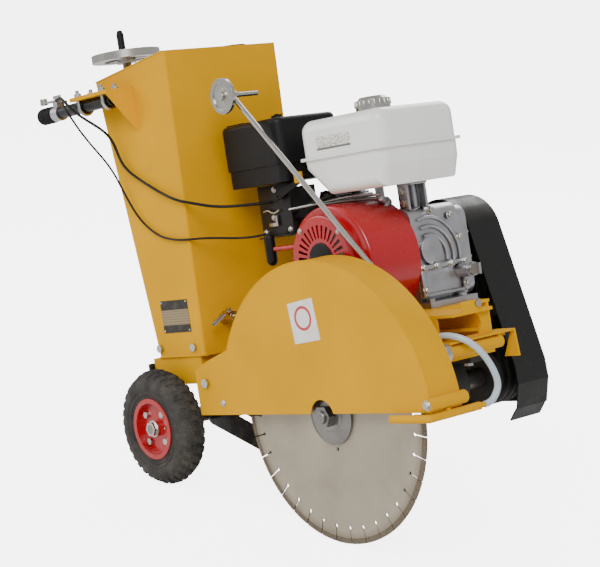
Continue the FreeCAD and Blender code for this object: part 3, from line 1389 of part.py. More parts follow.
def build_all():
    """Every sub-part in turn."""
    for make in (
        saw_blade, blade_segments, blade_shaft, outer_flange, arbor_nut, drive_belts, belt_guard, blade_guard,
        spray_pipe, main_frame, engine_deck, bearing_blocks, rear_axle, axle_nuts, front_arm, depth_screw,
        handwheel, handwheel_knob, water_tank, tank_cap, rating_plate, valve_body, valve_lever, water_hose,
        handle_u_bolts, throttle_clamp, throttle_lever, throttle_cable, crankcase, crankcase_cover,
        cylinder_head, crankshaft, blower_housing, recoil_cover, recoil_grip, fuel_tank, fuel_cap,
        air_cleaner, muffler, carburetor, choke_lever, spark_plug_cap, oil_dipstick, chassis_bolts,
        pointer_rod, guide_disc,
    ):
        make()
    pulley("arbor_pulley", (0, 0), D.arbor_pulley_radius, D.pulley_seat_radius + D.fit)
    pulley("engine_pulley", CRANK, D.engine_pulley_radius, D.crank_radius + D.fit)
    for side, left, out in (("right", D.wheel_right, -1), ("left", D.wheel_left, 1)):
        tyre(f"rear_tyre_{side}", left)
        rim(f"rear_rim_{side}", left, out)
        rim_bolts(f"rim_bolts_{side}", left, out)
    front_wheel("front_wheel_right", D.front_wheel_right)
    front_wheel("front_wheel_left", D.front_wheel_left)
    for side, left in zip(("right", "left"), SIDE_BARS):
        handlebar(f"handlebar_{side}", left)
        grip(f"grip_{side}", left)


def check_and_write():
    """Stop on any failed object or bad shape, then write one STEP file for each sub-part."""
    DOC.recompute()
    failed = [thing.Name for thing in DOC.Objects if {"Invalid", "Error"} & set(thing.State)]
    if failed:
        raise SystemExit("failed: " + ", ".join(failed))
    for thing in KEPT:
        if thing.Shape.isNull() or not thing.Shape.isValid():
            raise SystemExit("bad shape: " + thing.Label)
    os.makedirs("parts", exist_ok=True)
    for thing in KEPT:
        thing.Shape.exportStep(f"parts/{thing.Label}.step")


build_all()
check_and_write()
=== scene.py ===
import json
import math

import bmesh
import bpy
from mathutils import Matrix, Vector


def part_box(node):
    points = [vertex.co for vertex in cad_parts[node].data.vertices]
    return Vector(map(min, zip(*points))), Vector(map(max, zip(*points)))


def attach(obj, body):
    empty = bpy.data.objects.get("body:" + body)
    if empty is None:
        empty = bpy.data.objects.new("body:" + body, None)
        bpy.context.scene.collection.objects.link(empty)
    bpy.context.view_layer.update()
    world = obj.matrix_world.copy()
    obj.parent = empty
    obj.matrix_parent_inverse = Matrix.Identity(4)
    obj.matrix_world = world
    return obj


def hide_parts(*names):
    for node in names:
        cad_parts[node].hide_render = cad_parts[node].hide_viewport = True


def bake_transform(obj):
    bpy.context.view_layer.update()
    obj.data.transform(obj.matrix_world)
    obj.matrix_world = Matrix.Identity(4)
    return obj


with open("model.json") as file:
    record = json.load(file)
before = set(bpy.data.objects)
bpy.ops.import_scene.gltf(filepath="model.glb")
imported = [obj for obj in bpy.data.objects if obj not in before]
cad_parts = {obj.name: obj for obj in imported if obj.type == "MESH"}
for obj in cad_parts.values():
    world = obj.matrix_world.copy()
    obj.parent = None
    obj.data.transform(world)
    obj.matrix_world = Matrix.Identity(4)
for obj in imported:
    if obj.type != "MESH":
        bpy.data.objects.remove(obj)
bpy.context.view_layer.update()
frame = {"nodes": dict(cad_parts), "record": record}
JOINTS = {joint["name"]: joint for joint in frame["record"]["behaviour"]["joints"]}
MM = 0.001

# The chassis frame: zero at the middle of the blade, X forward and Z up along the chassis, in millimetres.
UP = Vector(JOINTS["depth_wheel_turn"]["axis"])
LEFT = Vector((0, 1, 0))
FORWARD = LEFT.cross(UP)
BLADE = Vector(JOINTS["blade_spin"]["pos_m"])
CHASSIS = Matrix.Translation(BLADE) @ Matrix((FORWARD, LEFT, UP)).transposed().to_4x4() @ Matrix.Scale(MM, 4)


def at(x, y, z):
    """A chassis point, in metres in the row frame."""
    return CHASSIS @ Vector((x, y, z))


# ---- node-tree helpers -----------------------------------------------------------------------------------


class Recipe:
    """A material under construction: a Principled shader and the nodes that feed it."""

    def __init__(self, name):
        self.material = bpy.data.materials.new(name)
        self.material.use_nodes = True
        self.tree = self.material.node_tree
        self.shader = self.tree.nodes["Principled BSDF"]
        self.place = self.add("ShaderNodeTexCoord").outputs["Object"]

    def add(self, kind, inputs=None, **settings):
        """A node with its settings, and its inputs linked or set."""
        made = self.tree.nodes.new(kind)
        for name, value in settings.items():
            setattr(made, name, value)
        for name, value in (inputs or {}).items():
            self.feed(made.inputs[name], value)
        return made

    def feed(self, socket, value):
        """Link a socket, or set its value."""
        if isinstance(value, bpy.types.NodeSocket):
            self.tree.links.new(value, socket)
        else:
            socket.default_value = value

    def noise(self, scale, detail=4, roughness=0.55, stretch=None):
        """Fractal noise over the object, optionally stretched."""
        where = self.place
        if stretch:
            where = self.add("ShaderNodeMapping", {"Vector": where, "Scale": stretch}).outputs["Vector"]
        settings = {"Vector": where, "Scale": scale, "Detail": detail, "Roughness": roughness}
        return self.add("ShaderNodeTexNoise", settings).outputs["Fac"]

    def cells(self, scale, feature="F1"):
        """The distance field of scattered points."""
        settings = {"Vector": self.place, "Scale": scale}
        return self.add("ShaderNodeTexVoronoi", settings, feature=feature).outputs[0]

    def between(self, value, low, high, to_low=0.0, to_high=1.0):
        """A value remapped from one range to another and held inside it."""
        settings = {"Value": value, "From Min": low, "From Max": high, "To Min": to_low, "To Max": to_high}
        return self.add("ShaderNodeMapRange", settings).outputs["Result"]

    def times(self, first, second):
        """Two values multiplied."""
        made = self.add("ShaderNodeMath", operation="MULTIPLY")
        self.feed(made.inputs[0], first)
        self.feed(made.inputs[1], second)
        return made.outputs[0]

    def along(self, direction):
        """How far each point lies along a direction, in metres."""
        inputs = {0: self.place, 1: tuple(direction)}
        return self.add("ShaderNodeVectorMath", inputs, operation="DOT_PRODUCT").outputs["Value"]

    def vector(self, operation, first, second):
        """One step of vector arithmetic."""
        return self.add("ShaderNodeVectorMath", {0: first, 1: second}, operation=operation).outputs["Vector"]

    def length(self, vector):
        """The length of a vector."""
        return self.add("ShaderNodeVectorMath", {0: vector}, operation="LENGTH").outputs["Value"]

    def wave(self, value):
        """The sine of a value."""
        return self.add("ShaderNodeMath", {0: value}, operation="SINE").outputs[0]

    def blend(self, amount, first, second):
        """Two colours mixed."""
        made = self.add("ShaderNodeMix", data_type="RGBA")
        self.feed(made.inputs["Factor"], amount)
        self.feed(made.inputs["A"], first)
        self.feed(made.inputs["B"], second)
        return made.outputs["Result"]

    def edges(self, radius=0.0016):
        """1 on outer and inner edges, 0 on open faces, from how far a bevelled normal leaves the true one."""
        soft = self.add("ShaderNodeBevel", {"Radius": radius}, samples=4).outputs["Normal"]
        true = self.add("ShaderNodeNewGeometry").outputs["Normal"]
        dot = self.add("ShaderNodeVectorMath", {0: soft, 1: true}, operation="DOT_PRODUCT").outputs["Value"]
        return self.between(dot, 0.995, 0.8)

    def height(self):
        """The height above the floor, in metres."""
        where = self.add("ShaderNodeNewGeometry").outputs["Position"]
        return self.add("ShaderNodeSeparateXYZ", {0: where}).outputs["Z"]

    def faces_up(self):
        """1 where the surface faces upwards."""
        normal = self.add("ShaderNodeNewGeometry").outputs["Normal"]
        return self.between(self.add("ShaderNodeSeparateXYZ", {0: normal}).outputs["Z"], 0.55, 0.95)

    def bump(self, strength, distance, value, before=None, bevel=0.0):
        """A bump over an earlier normal, or over rounded edges."""
        made = self.add("ShaderNodeBump", {"Strength": strength, "Distance": distance, "Height": value})
        if before is None and bevel:
            before = self.add("ShaderNodeBevel", {"Radius": bevel}, samples=4).outputs["Normal"]
        if before is not None:
            self.feed(made.inputs["Normal"], before)
        return made.outputs["Normal"]

    def finish(self, **inputs):
        """Feed the shader and return the material."""
        for name, value in inputs.items():
            self.feed(self.shader.inputs[name.replace("_", " ")], value)
        return self.material


def rgb(red, green, blue):
    """A colour given as the eye reads it (0 to 255), in linear light."""
    return tuple((value / 255) ** 2.2 for value in (red, green, blue)) + (1.0,)


def shade(colour, amount):
    """A lighter or darker copy of a colour."""
    return tuple(channel * amount for channel in colour[:3]) + (1.0,)


# ---- materials -------------------------------------------------------------------------------------------

THREAD_PITCH = 0.003
METAL_SCUFF = rgb(120, 116, 108)
DUST = rgb(176, 164, 142)


def painted(name, colour, rough=0.3, wear=0.5, dust=0.35, undercoat=METAL_SCUFF, waves=0.35, shine=0.25):
    """Sprayed paint on sheet steel: orange peel, uneven sheet, worn edges, scratches and settled dust."""
    r = Recipe(name)
    drift = r.blend(r.between(r.noise(5, 5), 0.3, 0.7), shade(colour, 0.9), shade(colour, 1.06))
    low = r.between(r.height(), 0.28, 0.02)
    spatter = r.times(low, r.between(r.noise(46, 6, 0.7), 0.5, 0.66))
    settled = r.times(r.times(r.faces_up(), r.between(r.noise(11, 6, 0.7), 0.4, 0.75)), dust)
    chips = r.times(r.edges(), r.between(r.noise(130, 5, 0.75), 0.56, 0.62))
    scratch = r.between(r.noise(14, 2, 0.5, (1, 30, 2)), 0.735, 0.75)
    worn = r.add("ShaderNodeMath", {0: chips, 1: r.times(scratch, 0.35)}, operation="MAXIMUM").outputs[0]
    worn = r.times(worn, wear)
    tone = r.blend(settled, drift, DUST)
    tone = r.blend(r.times(spatter, dust), tone, shade(DUST, 0.7))
    tone = r.blend(worn, tone, undercoat)
    gloss = r.between(r.noise(30, 4), 0.3, 0.7, rough * 0.8, rough * 1.35)
    gloss = r.add("ShaderNodeMath", {0: gloss, 1: r.times(settled, 0.4)}, operation="ADD").outputs[0]
    sheet = r.bump(waves, 0.004, r.noise(4.5, 2), bevel=0.0012)
    peel = r.bump(0.16, 0.0004, r.noise(420, 2), sheet)
    normal = r.bump(0.5, 0.0003, worn, peel)
    return r.finish(Base_Color=tone, Roughness=gloss, Normal=normal, Specular_IOR_Level=shine * 2,
                    Coat_Weight=shine, Coat_Roughness=0.12)


def bare_metal(name, colour, rough=0.32, grain=(1, 1, 26), stain=0.25, fine=180):
    """Machined or plated metal: fine grain, faint staining, softened edges and a painted highlight along
    them.
    """
    r = Recipe(name)
    film = r.between(r.noise(16, 6, 0.65), 0.42, 0.72)
    tone = r.blend(r.times(film, stain), colour, shade(colour, 0.45))
    # Painted highlight: lighter along every edge.
    tone = r.blend(r.times(r.edges(), 0.35), tone, shade(colour, 1.35))
    lines = r.noise(fine, 3, 0.6, grain)
    gloss = r.between(film, 0.0, 1.0, rough * 0.8, rough * 1.5)
    normal = r.bump(0.12, 0.0003, lines, bevel=0.0008)
    return r.finish(Base_Color=tone, Metallic=1.0, Roughness=gloss, Normal=normal)


def cast_metal(name, colour, metallic=1.0, rough=0.42, grit=0.5):
    """Sand- or die-cast metal: pebbled skin, painted shade darkening the hollows, and a painted highlight
    along the edges.
    """
    r = Recipe(name)
    pebble = r.noise(260, 3, 0.6)
    patch = r.between(r.noise(22, 5, 0.65), 0.35, 0.7)
    occlusion_level = r.add("ShaderNodeAmbientOcclusion", {"Distance": 0.012}, samples=4).outputs["AO"]
    tone = r.blend(patch, shade(colour, 0.82), shade(colour, 1.08))
    # Painted shade: darker where ambient occlusion finds the surface hemmed in.
    tone = r.blend(r.between(occlusion_level, 0.75, 0.2, 0.0, 0.75), tone, shade(colour, 0.22))
    # Painted highlight: lighter along every edge.
    tone = r.blend(r.times(r.edges(), 0.4), tone, shade(colour, 1.5))
    normal = r.bump(grit, 0.0006, pebble, bevel=0.0012)
    return r.finish(Base_Color=tone, Metallic=metallic, Roughness=r.between(patch, 0, 1, rough, rough + 0.18),
                    Normal=normal)


def blade_steel():
    """The blade core: ground in circles, warm grey, with wet-cutting stains and rim discolouring."""
    r = Recipe("blade_core_steel")
    parts = r.add("ShaderNodeSeparateXYZ", {0: r.vector("SUBTRACT", r.place, tuple(BLADE))})
    flat = r.add("ShaderNodeCombineXYZ", {"X": parts.outputs["X"], "Y": parts.outputs["Z"]}).outputs[0]
    radius = r.length(flat)
    rings = r.add("ShaderNodeTexNoise", {"W": r.times(radius, 900), "Detail": 3}, noise_dimensions="1D")
    cloud = r.between(r.noise(7, 6, 0.62), 0.34, 0.72)
    speck = r.between(r.noise(240, 4, 0.7), 0.58, 0.72)
    steel = rgb(176, 166, 148)
    tone = r.blend(cloud, shade(steel, 0.84), shade(steel, 1.12))
    tone = r.blend(r.times(speck, 0.5), tone, shade(steel, 0.6))
    tone = r.blend(r.between(radius, 0.225, 0.24, 0.0, 0.5), tone, rgb(118, 100, 84))
    gloss = r.between(rings.outputs["Fac"], 0.3, 0.7, 0.42, 0.56)
    normal = r.bump(0.1, 0.0003, rings.outputs["Fac"])
    return r.finish(Base_Color=tone, Metallic=0.55, Roughness=gloss, Normal=normal, Anisotropic=0.5)


def segment_metal():
    """Sintered diamond segments: rough, grey-brown, with glinting grit."""
    r = Recipe("diamond_segment_matrix")
    grit = r.cells(900)
    tone = r.blend(r.between(grit, 0.1, 0.5), rgb(168, 160, 142), rgb(104, 92, 74))
    normal = r.bump(0.8, 0.0006, grit)
    return r.finish(Base_Color=tone, Metallic=0.5, Roughness=0.6, Normal=normal)


def moulded(name, colour, rough=0.5, grain=0.35, scale=520, dust=0.3):
    """Moulded plastic or rubber: leathery grain, dusty upper faces, scuffed edges."""
    r = Recipe(name)
    patch = r.between(r.noise(18, 5, 0.6), 0.35, 0.7)
    tone = r.blend(patch, shade(colour, 0.85), shade(colour, 1.25))
    settled = r.times(r.faces_up(), r.between(r.noise(24, 6, 0.7), 0.42, 0.7))
    tone = r.blend(r.times(settled, dust), tone, DUST)
    scuff = r.times(r.edges(), r.between(r.noise(90, 5, 0.7), 0.5, 0.6))
    tone = r.blend(r.times(scuff, 0.45), tone, rgb(120, 118, 114))
    normal = r.bump(grain, 0.0005, r.cells(scale), bevel=0.0012)
    return r.finish(Base_Color=tone, Roughness=r.between(patch, 0, 1, rough, rough + 0.15), Normal=normal,
                    Specular_IOR_Level=0.3)


def tyre_rubber():
    """Tyre rubber with road dust worked into it."""
    r = Recipe("tyre_rubber_dusty")
    patch = r.between(r.noise(26, 6, 0.7), 0.38, 0.72)
    occlusion_level = r.add("ShaderNodeAmbientOcclusion", {"Distance": 0.01}, samples=4).outputs["AO"]
    tone = r.blend(r.times(patch, 0.5), rgb(38, 37, 36), rgb(104, 98, 88))
    tone = r.blend(r.between(occlusion_level, 0.8, 0.3, 0.0, 0.45), tone, rgb(96, 88, 76))
    normal = r.bump(0.4, 0.0006, r.noise(380, 4, 0.7), bevel=0.0012)
    return r.finish(Base_Color=tone, Roughness=0.78, Normal=normal)


def threaded_rod():
    """Plated rod with a rolled thread, seen as fine rings along the rod: painted shade in the thread's roots
    and a painted highlight on its crests.
    """
    r = Recipe("threaded_rod_plated")
    turns = r.wave(r.times(r.along(UP), 2 * math.pi / THREAD_PITCH))
    # Painted shade and highlight: darker in the thread roots, lighter on the crests.
    tone = r.blend(r.between(turns, -1, 1), rgb(96, 90, 78), rgb(182, 176, 160))
    normal = r.bump(0.9, 0.001, turns)
    return r.finish(Base_Color=tone, Metallic=0.9, Roughness=0.36, Normal=normal)


def clear_hose():
    """Milky clear PVC hose with a faint blue tint and braid."""
    r = Recipe("clear_braided_hose")
    braid = r.add("ShaderNodeTexChecker", {"Vector": r.place, "Scale": 420}).outputs["Fac"]
    tone = r.blend(r.times(braid, 0.3), rgb(206, 226, 236), rgb(240, 246, 250))
    normal = r.bump(0.2, 0.0004, braid)
    return r.finish(Base_Color=tone, Roughness=0.16, Transmission_Weight=0.35, Subsurface_Weight=0.15,
                    Subsurface_Radius=(0.01, 0.01, 0.01), IOR=1.4, Normal=normal, Coat_Weight=0.5)


def printed_plate():
    """A plain rating plate: dark head and foot bands, tan middle with faint rules, no lettering."""
    r = Recipe("rating_plate_print")
    low, high = at(-501, -1.2, 177), at(-407, 0, 245)
    share = r.between(r.along(UP), low.dot(UP), high.dot(UP))
    head = r.between(share, 0.7, 0.71)
    foot = r.between(share, 0.24, 0.23)
    rules = r.wave(r.times(share, 80))
    paper = r.blend(r.between(rules, 0.86, 0.9), rgb(150, 132, 98), rgb(84, 72, 52))
    ink = rgb(42, 36, 28)
    tone = r.blend(head, r.blend(foot, paper, ink), ink)
    tone = r.blend(r.times(r.between(r.noise(60, 5, 0.7), 0.5, 0.7), 0.3), tone, rgb(120, 112, 96))
    return r.finish(Base_Color=tone, Metallic=0.3, Roughness=0.38, Normal=r.bump(0.1, 0.0003, r.noise(200)))


def sticker_print():
    """A plain white self-adhesive panel with a soft red ring and no lettering."""
    r = Recipe("sticker_plain_ring")
    coords = r.add("ShaderNodeTexCoord").outputs["UV"]
    middle = r.vector("SUBTRACT", coords, (0.5, 0.58, 0))
    away = r.length(r.vector("MULTIPLY", middle, (1.0, 1.12, 1)))
    ring = r.times(r.between(away, 0.25, 0.26), r.between(away, 0.34, 0.33))
    tone = r.blend(r.between(r.noise(40, 5), 0.4, 0.7), rgb(240, 238, 232), rgb(226, 222, 212))
    tone = r.blend(ring, tone, rgb(196, 40, 44))
    return r.finish(Base_Color=tone, Roughness=0.3, Coat_Weight=0.3)


LABEL = ((-34, 88.9, 500), (62, 90.1, 526))


def data_label():
    """A pale data label with a dark mottle in place of its print, and a darker foot line."""
    r = Recipe("tank_data_label")
    foot, head = (at(*corner).dot(UP) for corner in LABEL)
    share = r.between(r.along(UP), foot, head)
    mottle = r.between(r.noise(330, 3, 0.7), 0.5, 0.56)
    tone = r.blend(r.times(mottle, 0.7), rgb(236, 234, 224), rgb(120, 118, 112))
    tone = r.blend(r.between(share, 0.16, 0.12), tone, rgb(104, 102, 96))
    return r.finish(Base_Color=tone, Roughness=0.35)


YELLOW = (0.74, 0.365, 0.0, 1.0)
RED = rgb(176, 4, 24)
BLACK = rgb(26, 26, 25)
WHITE = rgb(250, 250, 246)

FINISHES = {
    "yellow_paint": lambda: painted("saw_yellow_paint", YELLOW, 0.4, 0.45, 0.04, shine=0.02),
    "black_paint": lambda: painted("saw_black_paint", BLACK, 0.42, 0.4, 0.2, rgb(120, 118, 112), shine=0.15),
    "red_paint": lambda: painted("engine_red_paint", RED, 0.22, 0.25, 0.12, rgb(120, 60, 60), 0.15),
    "white_paint": lambda: painted("tank_white_paint", WHITE, 0.2, 0.12, 0.12, rgb(150, 148, 140), 0.12),
    "steel": lambda: bare_metal("machined_steel", rgb(140, 138, 134), 0.34, stain=0.5),
    "plated_steel": lambda: bare_metal("zinc_plated_steel", rgb(190, 188, 182), 0.25),
    "blade_steel": blade_steel,
    "diamond_segment": segment_metal,
    "cast_aluminium": lambda: cast_metal("cast_aluminium", rgb(186, 186, 190), 1.0, 0.3),
    "cast_iron": lambda: cast_metal("cast_iron_dark", rgb(70, 70, 68), 0.6, 0.5, 0.7),
    "tyre_rubber": tyre_rubber,
    "rubber": lambda: moulded("black_rubber", rgb(22, 22, 22), 0.6, 0.4, 420, 0.15),
    "black_plastic": lambda: moulded("black_moulding", rgb(11, 11, 12), 0.4, 0.3, 620, 0.12),
    "brass": lambda: bare_metal("valve_nickel_brass", rgb(186, 168, 128), 0.3),
    "clear_hose": clear_hose,
    "plate_metal": printed_plate,
}
MADE = {}


def finish_of(slot):
    """The material for a record slot, made once."""
    if slot not in MADE:
        MADE[slot] = FINISHES[slot]()
    return MADE[slot]


def dress_cad():
    """Give every CAD node the material of its slot."""
    for part in frame["record"]["subparts"]:
        node = frame["nodes"][part["node"]]
        material = finish_of(part["material_slot"])
        node.data.materials.clear()
        node.data.materials.append(material)
    screw = frame["nodes"]["depth_screw"]
    screw.data.materials[0] = threaded_rod()


# ---- mesh helpers ----------------------------------------------------------------------------------------


def new_piece(name, mesh, slot, body, smooth=35):
    """A finished piece: named, coloured, shaded smooth up to an angle, and riding on any body given."""
    piece = bpy.data.objects.new(name, mesh)
    bpy.context.scene.collection.objects.link(piece)
    if not mesh.materials:
        mesh.materials.append(finish_of(slot))
    for polygon in mesh.polygons:
        polygon.use_smooth = True
    if smooth:
        mesh.set_sharp_from_angle(angle=math.radians(smooth))
    if body:
        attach(piece, body)
    return piece


def mesh_from(name, build):
    """A mesh made by a bmesh function."""
    bm = bmesh.new()
    build(bm)
    bmesh.ops.recalc_face_normals(bm, faces=bm.faces)
    mesh = bpy.data.meshes.new(name)
    bm.to_mesh(mesh)
    bm.free()
    return mesh


def spun(bm, profile, turn, segments=48):
    """Add a closed ring of (radius, along) points turned about local Z and moved by a matrix."""
    rings = []
    for step in range(segments):
        angle = 2 * math.pi * step / segments
        rings.append([bm.verts.new(turn @ Vector((r * math.cos(angle), r * math.sin(angle), a)))
                      for r, a in profile])
    for step, ring in enumerate(rings):
        after = rings[(step + 1) % segments]
        for number in range(len(profile)):
            following = (number + 1) % len(profile)
            bm.faces.new((ring[number], after[number], after[following], ring[following]))


def facing(middle, direction):
    """A matrix that puts local Z along a chassis direction at a chassis point, in row metres."""
    turn = Vector(direction).to_track_quat("Z", "Y").to_matrix().to_4x4()
    return CHASSIS @ Matrix.Translation(Vector(middle)) @ turn


def hex_head(bm, turn, flats, tall, washer=1.5):
    """A chamfered hexagon head on a round washer."""
    size = flats / math.sqrt(3)
    wide = flats * 0.72
    spun(bm, [(0.3, 0), (wide, 0), (wide, washer * 0.7), (wide - 0.5, washer), (0.3, washer)], turn, 24)
    spun(bm, [(0.3, washer), (size, washer), (size, tall - 0.8), (size * 0.86, tall), (0.3, tall)], turn, 6)


def bolt_heads(name, places, direction, flats, tall, body, slot="plated_steel"):
    """A set of bolt heads that all face one way, as one piece."""
    def build(bm):
        for place in places:
            hex_head(bm, facing(place, direction), flats, tall)
    return new_piece(name, mesh_from(name, build), slot, body, 25)


def rod_through(points, radius, sides=10):
    """A round bar mesh through chassis points, with smooth bends."""
    curve = bpy.data.curves.new("path", "CURVE")
    curve.dimensions = "3D"
    spline = curve.splines.new("NURBS")
    spline.points.add(len(points) - 1)
    for point, place in zip(spline.points, points):
        point.co = (*at(*place), 1)
    spline.use_endpoint_u = True
    spline.order_u = 3
    spline.resolution_u = 8
    curve.bevel_depth = radius * MM
    curve.bevel_resolution = sides // 4
    curve.use_fill_caps = True
    holder = bpy.data.objects.new("path", curve)
    bpy.context.scene.collection.objects.link(holder)
    mesh = bpy.data.meshes.new_from_object(holder.evaluated_get(bpy.context.evaluated_depsgraph_get()))
    bpy.data.objects.remove(holder)
    mesh.materials.clear()
    return mesh


def rod_piece(name, points, radius, slot, body):
    """A bent bar, cable or weld run as a piece."""
    return new_piece(name, rod_through(points, radius), slot, body, 60)


def block(bm, low, high, soft=2.0):
    """Add a box between two chassis corners with bevelled edges."""
    made = bmesh.ops.create_cube(bm, size=1.0)
    size = [b - a for a, b in zip(low, high)]
    middle = [(a + b) / 2 for a, b in zip(low, high)]
    move = CHASSIS @ Matrix.Translation(middle) @ Matrix.Diagonal((*size, 1))
    bmesh.ops.transform(bm, matrix=move, verts=made["verts"])
    edges = list({edge for vert in made["verts"] for edge in vert.link_edges})
    bmesh.ops.bevel(bm, geom=edges, offset=soft * MM, segments=3, profile=0.5, affect="EDGES")


def block_piece(name, boxes, slot, body, soft=2.0):
    """Bevelled blocks as one piece."""
    def build(bm):
        for low, high in boxes:
            block(bm, low, high, soft)
    return new_piece(name, mesh_from(name, build), slot, body, 40)


def around(centre, radius, degrees, axis):
    """The point at an angle on a circle about an X, Y or Z axis through a centre."""
    x, y, z = centre
    first = radius * math.cos(math.radians(degrees))
    second = radius * math.sin(math.radians(degrees))
    return {
        "X": (x, y + first, z + second),
        "Y": (x + first, y, z + second),
        "Z": (x + first, y + second, z),
    }[axis]


# ---- tyres -----------------------------------------------------------------------------------------------


def tyre_piece(side):
    """A block-tread pneumatic tyre in place of the plain CAD ring."""
    node = f"rear_tyre_{side}"
    low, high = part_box(node)
    middle = (low + high) / 2
    radius = (high.z - low.z) / 2 / MM
    half = (high.y - low.y) / 2 / MM - 1
    turn = Matrix.Translation(middle) @ Matrix.Rotation(math.radians(90), 4, "X") @ Matrix.Scale(MM, 4)
    tread_foot = radius - 5
    outline = [(58, -24), (61.5, -27)]
    for step in range(13):
        angle = math.radians(-128 + step * 256 / 12)
        outline.append((88 + (tread_foot - 88) * math.cos(angle), half * math.sin(angle)))
    outline += [(61.5, 27), (58, 24), (58, 14), (70, 12), (70, -12), (58, -14)]

    def build(bm):
        spun(bm, outline, turn, 96)
        for row in (-1, 0, 1):
            count = 34
            for number in range(count):
                tread_block(bm, turn, radius, half, row, 2 * math.pi * (number + 0.5 * (row != 0)) / count)
        for rib in (66, 74, 82):
            for out in (-1, 1):
                reach = half * math.sqrt(max(0.0, 1 - ((rib - 88) / (tread_foot - 88)) ** 2))
                spun(bm, [(rib - 1, out * (reach - 1)), (rib + 1.2, out * (reach - 1)),
                          (rib + 0.6, out * (reach + 1.0)), (rib - 0.4, out * (reach + 1.0))], turn, 72)
    piece = new_piece(f"tyre_tread_{side}", mesh_from("tyre", build), "tyre_rubber", f"rear_{side}_wheel", 40)
    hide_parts(node)


def tread_block(bm, turn, radius, half, row, angle):
    """One tread lug: a slanted block on the crown, or a longer one on the shoulder."""
    centre = row * half * 0.56
    wide = half * (0.24 if row == 0 else 0.2)
    long = 0.06
    slant = 0.022 * (1 if row >= 0 else -1)
    crown = [radius - 5.5, radius - 0.3] if row == 0 else [radius - 10.5, radius - 4.2]
    corners = []
    for level, shrink in zip(crown, (1.0, 0.82)):
        for across, along in ((-1, -1), (1, -1), (1, 1), (-1, 1)):
            turned = angle + long * along * shrink + slant * across
            drop = 0 if row == 0 else max(0, across * row) * 6.0
            out = (level - drop)
            corners.append(bm.verts.new(turn @ Vector((
                out * math.cos(turned), out * math.sin(turned), centre + across * wide * shrink))))
    for face in ((0, 1, 2, 3), (4, 5, 6, 7), (0, 1, 5, 4), (1, 2, 6, 5), (2, 3, 7, 6), (3, 0, 4, 7)):
        bm.faces.new([corners[index] for index in face])


def wheel_details(side, out):
    """Bearing cap and valve stem on one rear wheel."""
    axle = Vector(JOINTS[f"rear_wheel_{side}_spin"]["pos_m"])
    turn = Matrix.Translation(axle) @ Matrix.Rotation(math.radians(90 * -out), 4, "X") @ Matrix.Scale(MM, 4)

    def build(bm):
        spun(bm, [(10.6, 23), (16, 23), (16.6, 24.1), (13, 24.2), (10.6, 24.2)], turn, 32)
        stem = turn @ Matrix.Translation((44, 12, 14))
        spun(bm, [(0.2, 0), (3, 0), (3, 9), (2, 10), (2, 15), (0.2, 15)], stem, 16)
    new_piece(f"wheel_cap_{side}", mesh_from("cap", build), "plated_steel", f"rear_{side}_wheel", 30)


# ---- guard, frame and tank -------------------------------------------------------------------------------

GUARD_FACE = -27.0
GUARD_FAR_FACE = 47.2
GUARD_EDGE_RADIUS = 297.2


def sticker():
    """The plain white panel on the guard's outer face."""
    corners = [(-54, 219), (20, 227), (28, 147), (-47, 141)]
    bm = bmesh.new()
    verts = [bm.verts.new(at(x, GUARD_FACE - 0.25, z)) for x, z in corners]
    face = bm.faces.new(verts)
    layer = bm.loops.layers.uv.new()
    for loop, uv in zip(face.loops, ((0, 1), (1, 1), (1, 0), (0, 0))):
        loop[layer].uv = uv
    mesh = bpy.data.meshes.new("sticker")
    bm.to_mesh(mesh)
    bm.free()
    mesh.materials.append(sticker_print())
    new_piece("guard_panel", mesh, "white_paint", "guard_unit", 0)


def guard_details():
    """Rolled-edge weld, hinge washer and the bolts that hold the guard's nose tube and pipe."""
    edge = []
    for step in range(41):
        angle = math.radians(3 + step * 149 / 40)
        across, up = GUARD_EDGE_RADIUS * math.cos(angle), GUARD_EDGE_RADIUS * math.sin(angle)
        edge.append((across, GUARD_FACE + 1.0, up))
    rod_piece("guard_edge_weld", edge, 1.6, "yellow_paint", "guard_unit")
    far_edge = [(x, GUARD_FAR_FACE, z) for x, _, z in edge]
    rod_piece("guard_far_edge_weld", far_edge, 1.6, "yellow_paint", "guard_unit")
    bolt_heads("guard_nose_bolt", [(299, -38, 21)], (0, -1, 0), 13, 6, "guard_unit")
    bolt_heads("guard_heel_bolt", [(-300, GUARD_FACE, 30)], (0, -1, 0), 10, 4, "guard_unit")


def tank_details():
    """Weld runs and rivets on the tank and its brackets, and a rubber rear bumper."""
    welds = [
        ("tank_foot_weld", [(-530, -0.5, 126), (-376, -0.5, 126)], 2.0),
        ("bracket_weld_right", [(-616, -1, 698.5), (-484, -1, 698.5)], 2.2),
        ("bracket_weld_left", [(-600, 299, 698.5), (-484, 299, 698.5)], 2.2),
        ("tank_top_weld_right", [(-612, 0.4, 726.3), (-360, 0.4, 753.4)], 1.8),
        ("tank_top_weld_left", [(-612, 297.6, 726.3), (-360, 297.6, 753.4)], 1.8),
    ]
    for name, points, radius in welds:
        rod_piece(name, points, radius, "yellow_paint", "chassis")

    def rivets(bm):
        for x in (-497, -411):
            for z in (181, 241):
                dome = [(0.1, 0), (2.4, 0), (2.1, 0.9), (1.2, 1.5), (0.1, 1.7)]
                spun(bm, dome, facing((x, -1.2, z), (0, -1, 0)), 16)
    new_piece("plate_rivets", mesh_from("rivets", rivets), "plated_steel", "chassis", 50)
    block_piece("rear_bumper", [((-574, -6, 92), (-560.2, 10, 114))], "rubber", "chassis", 3)


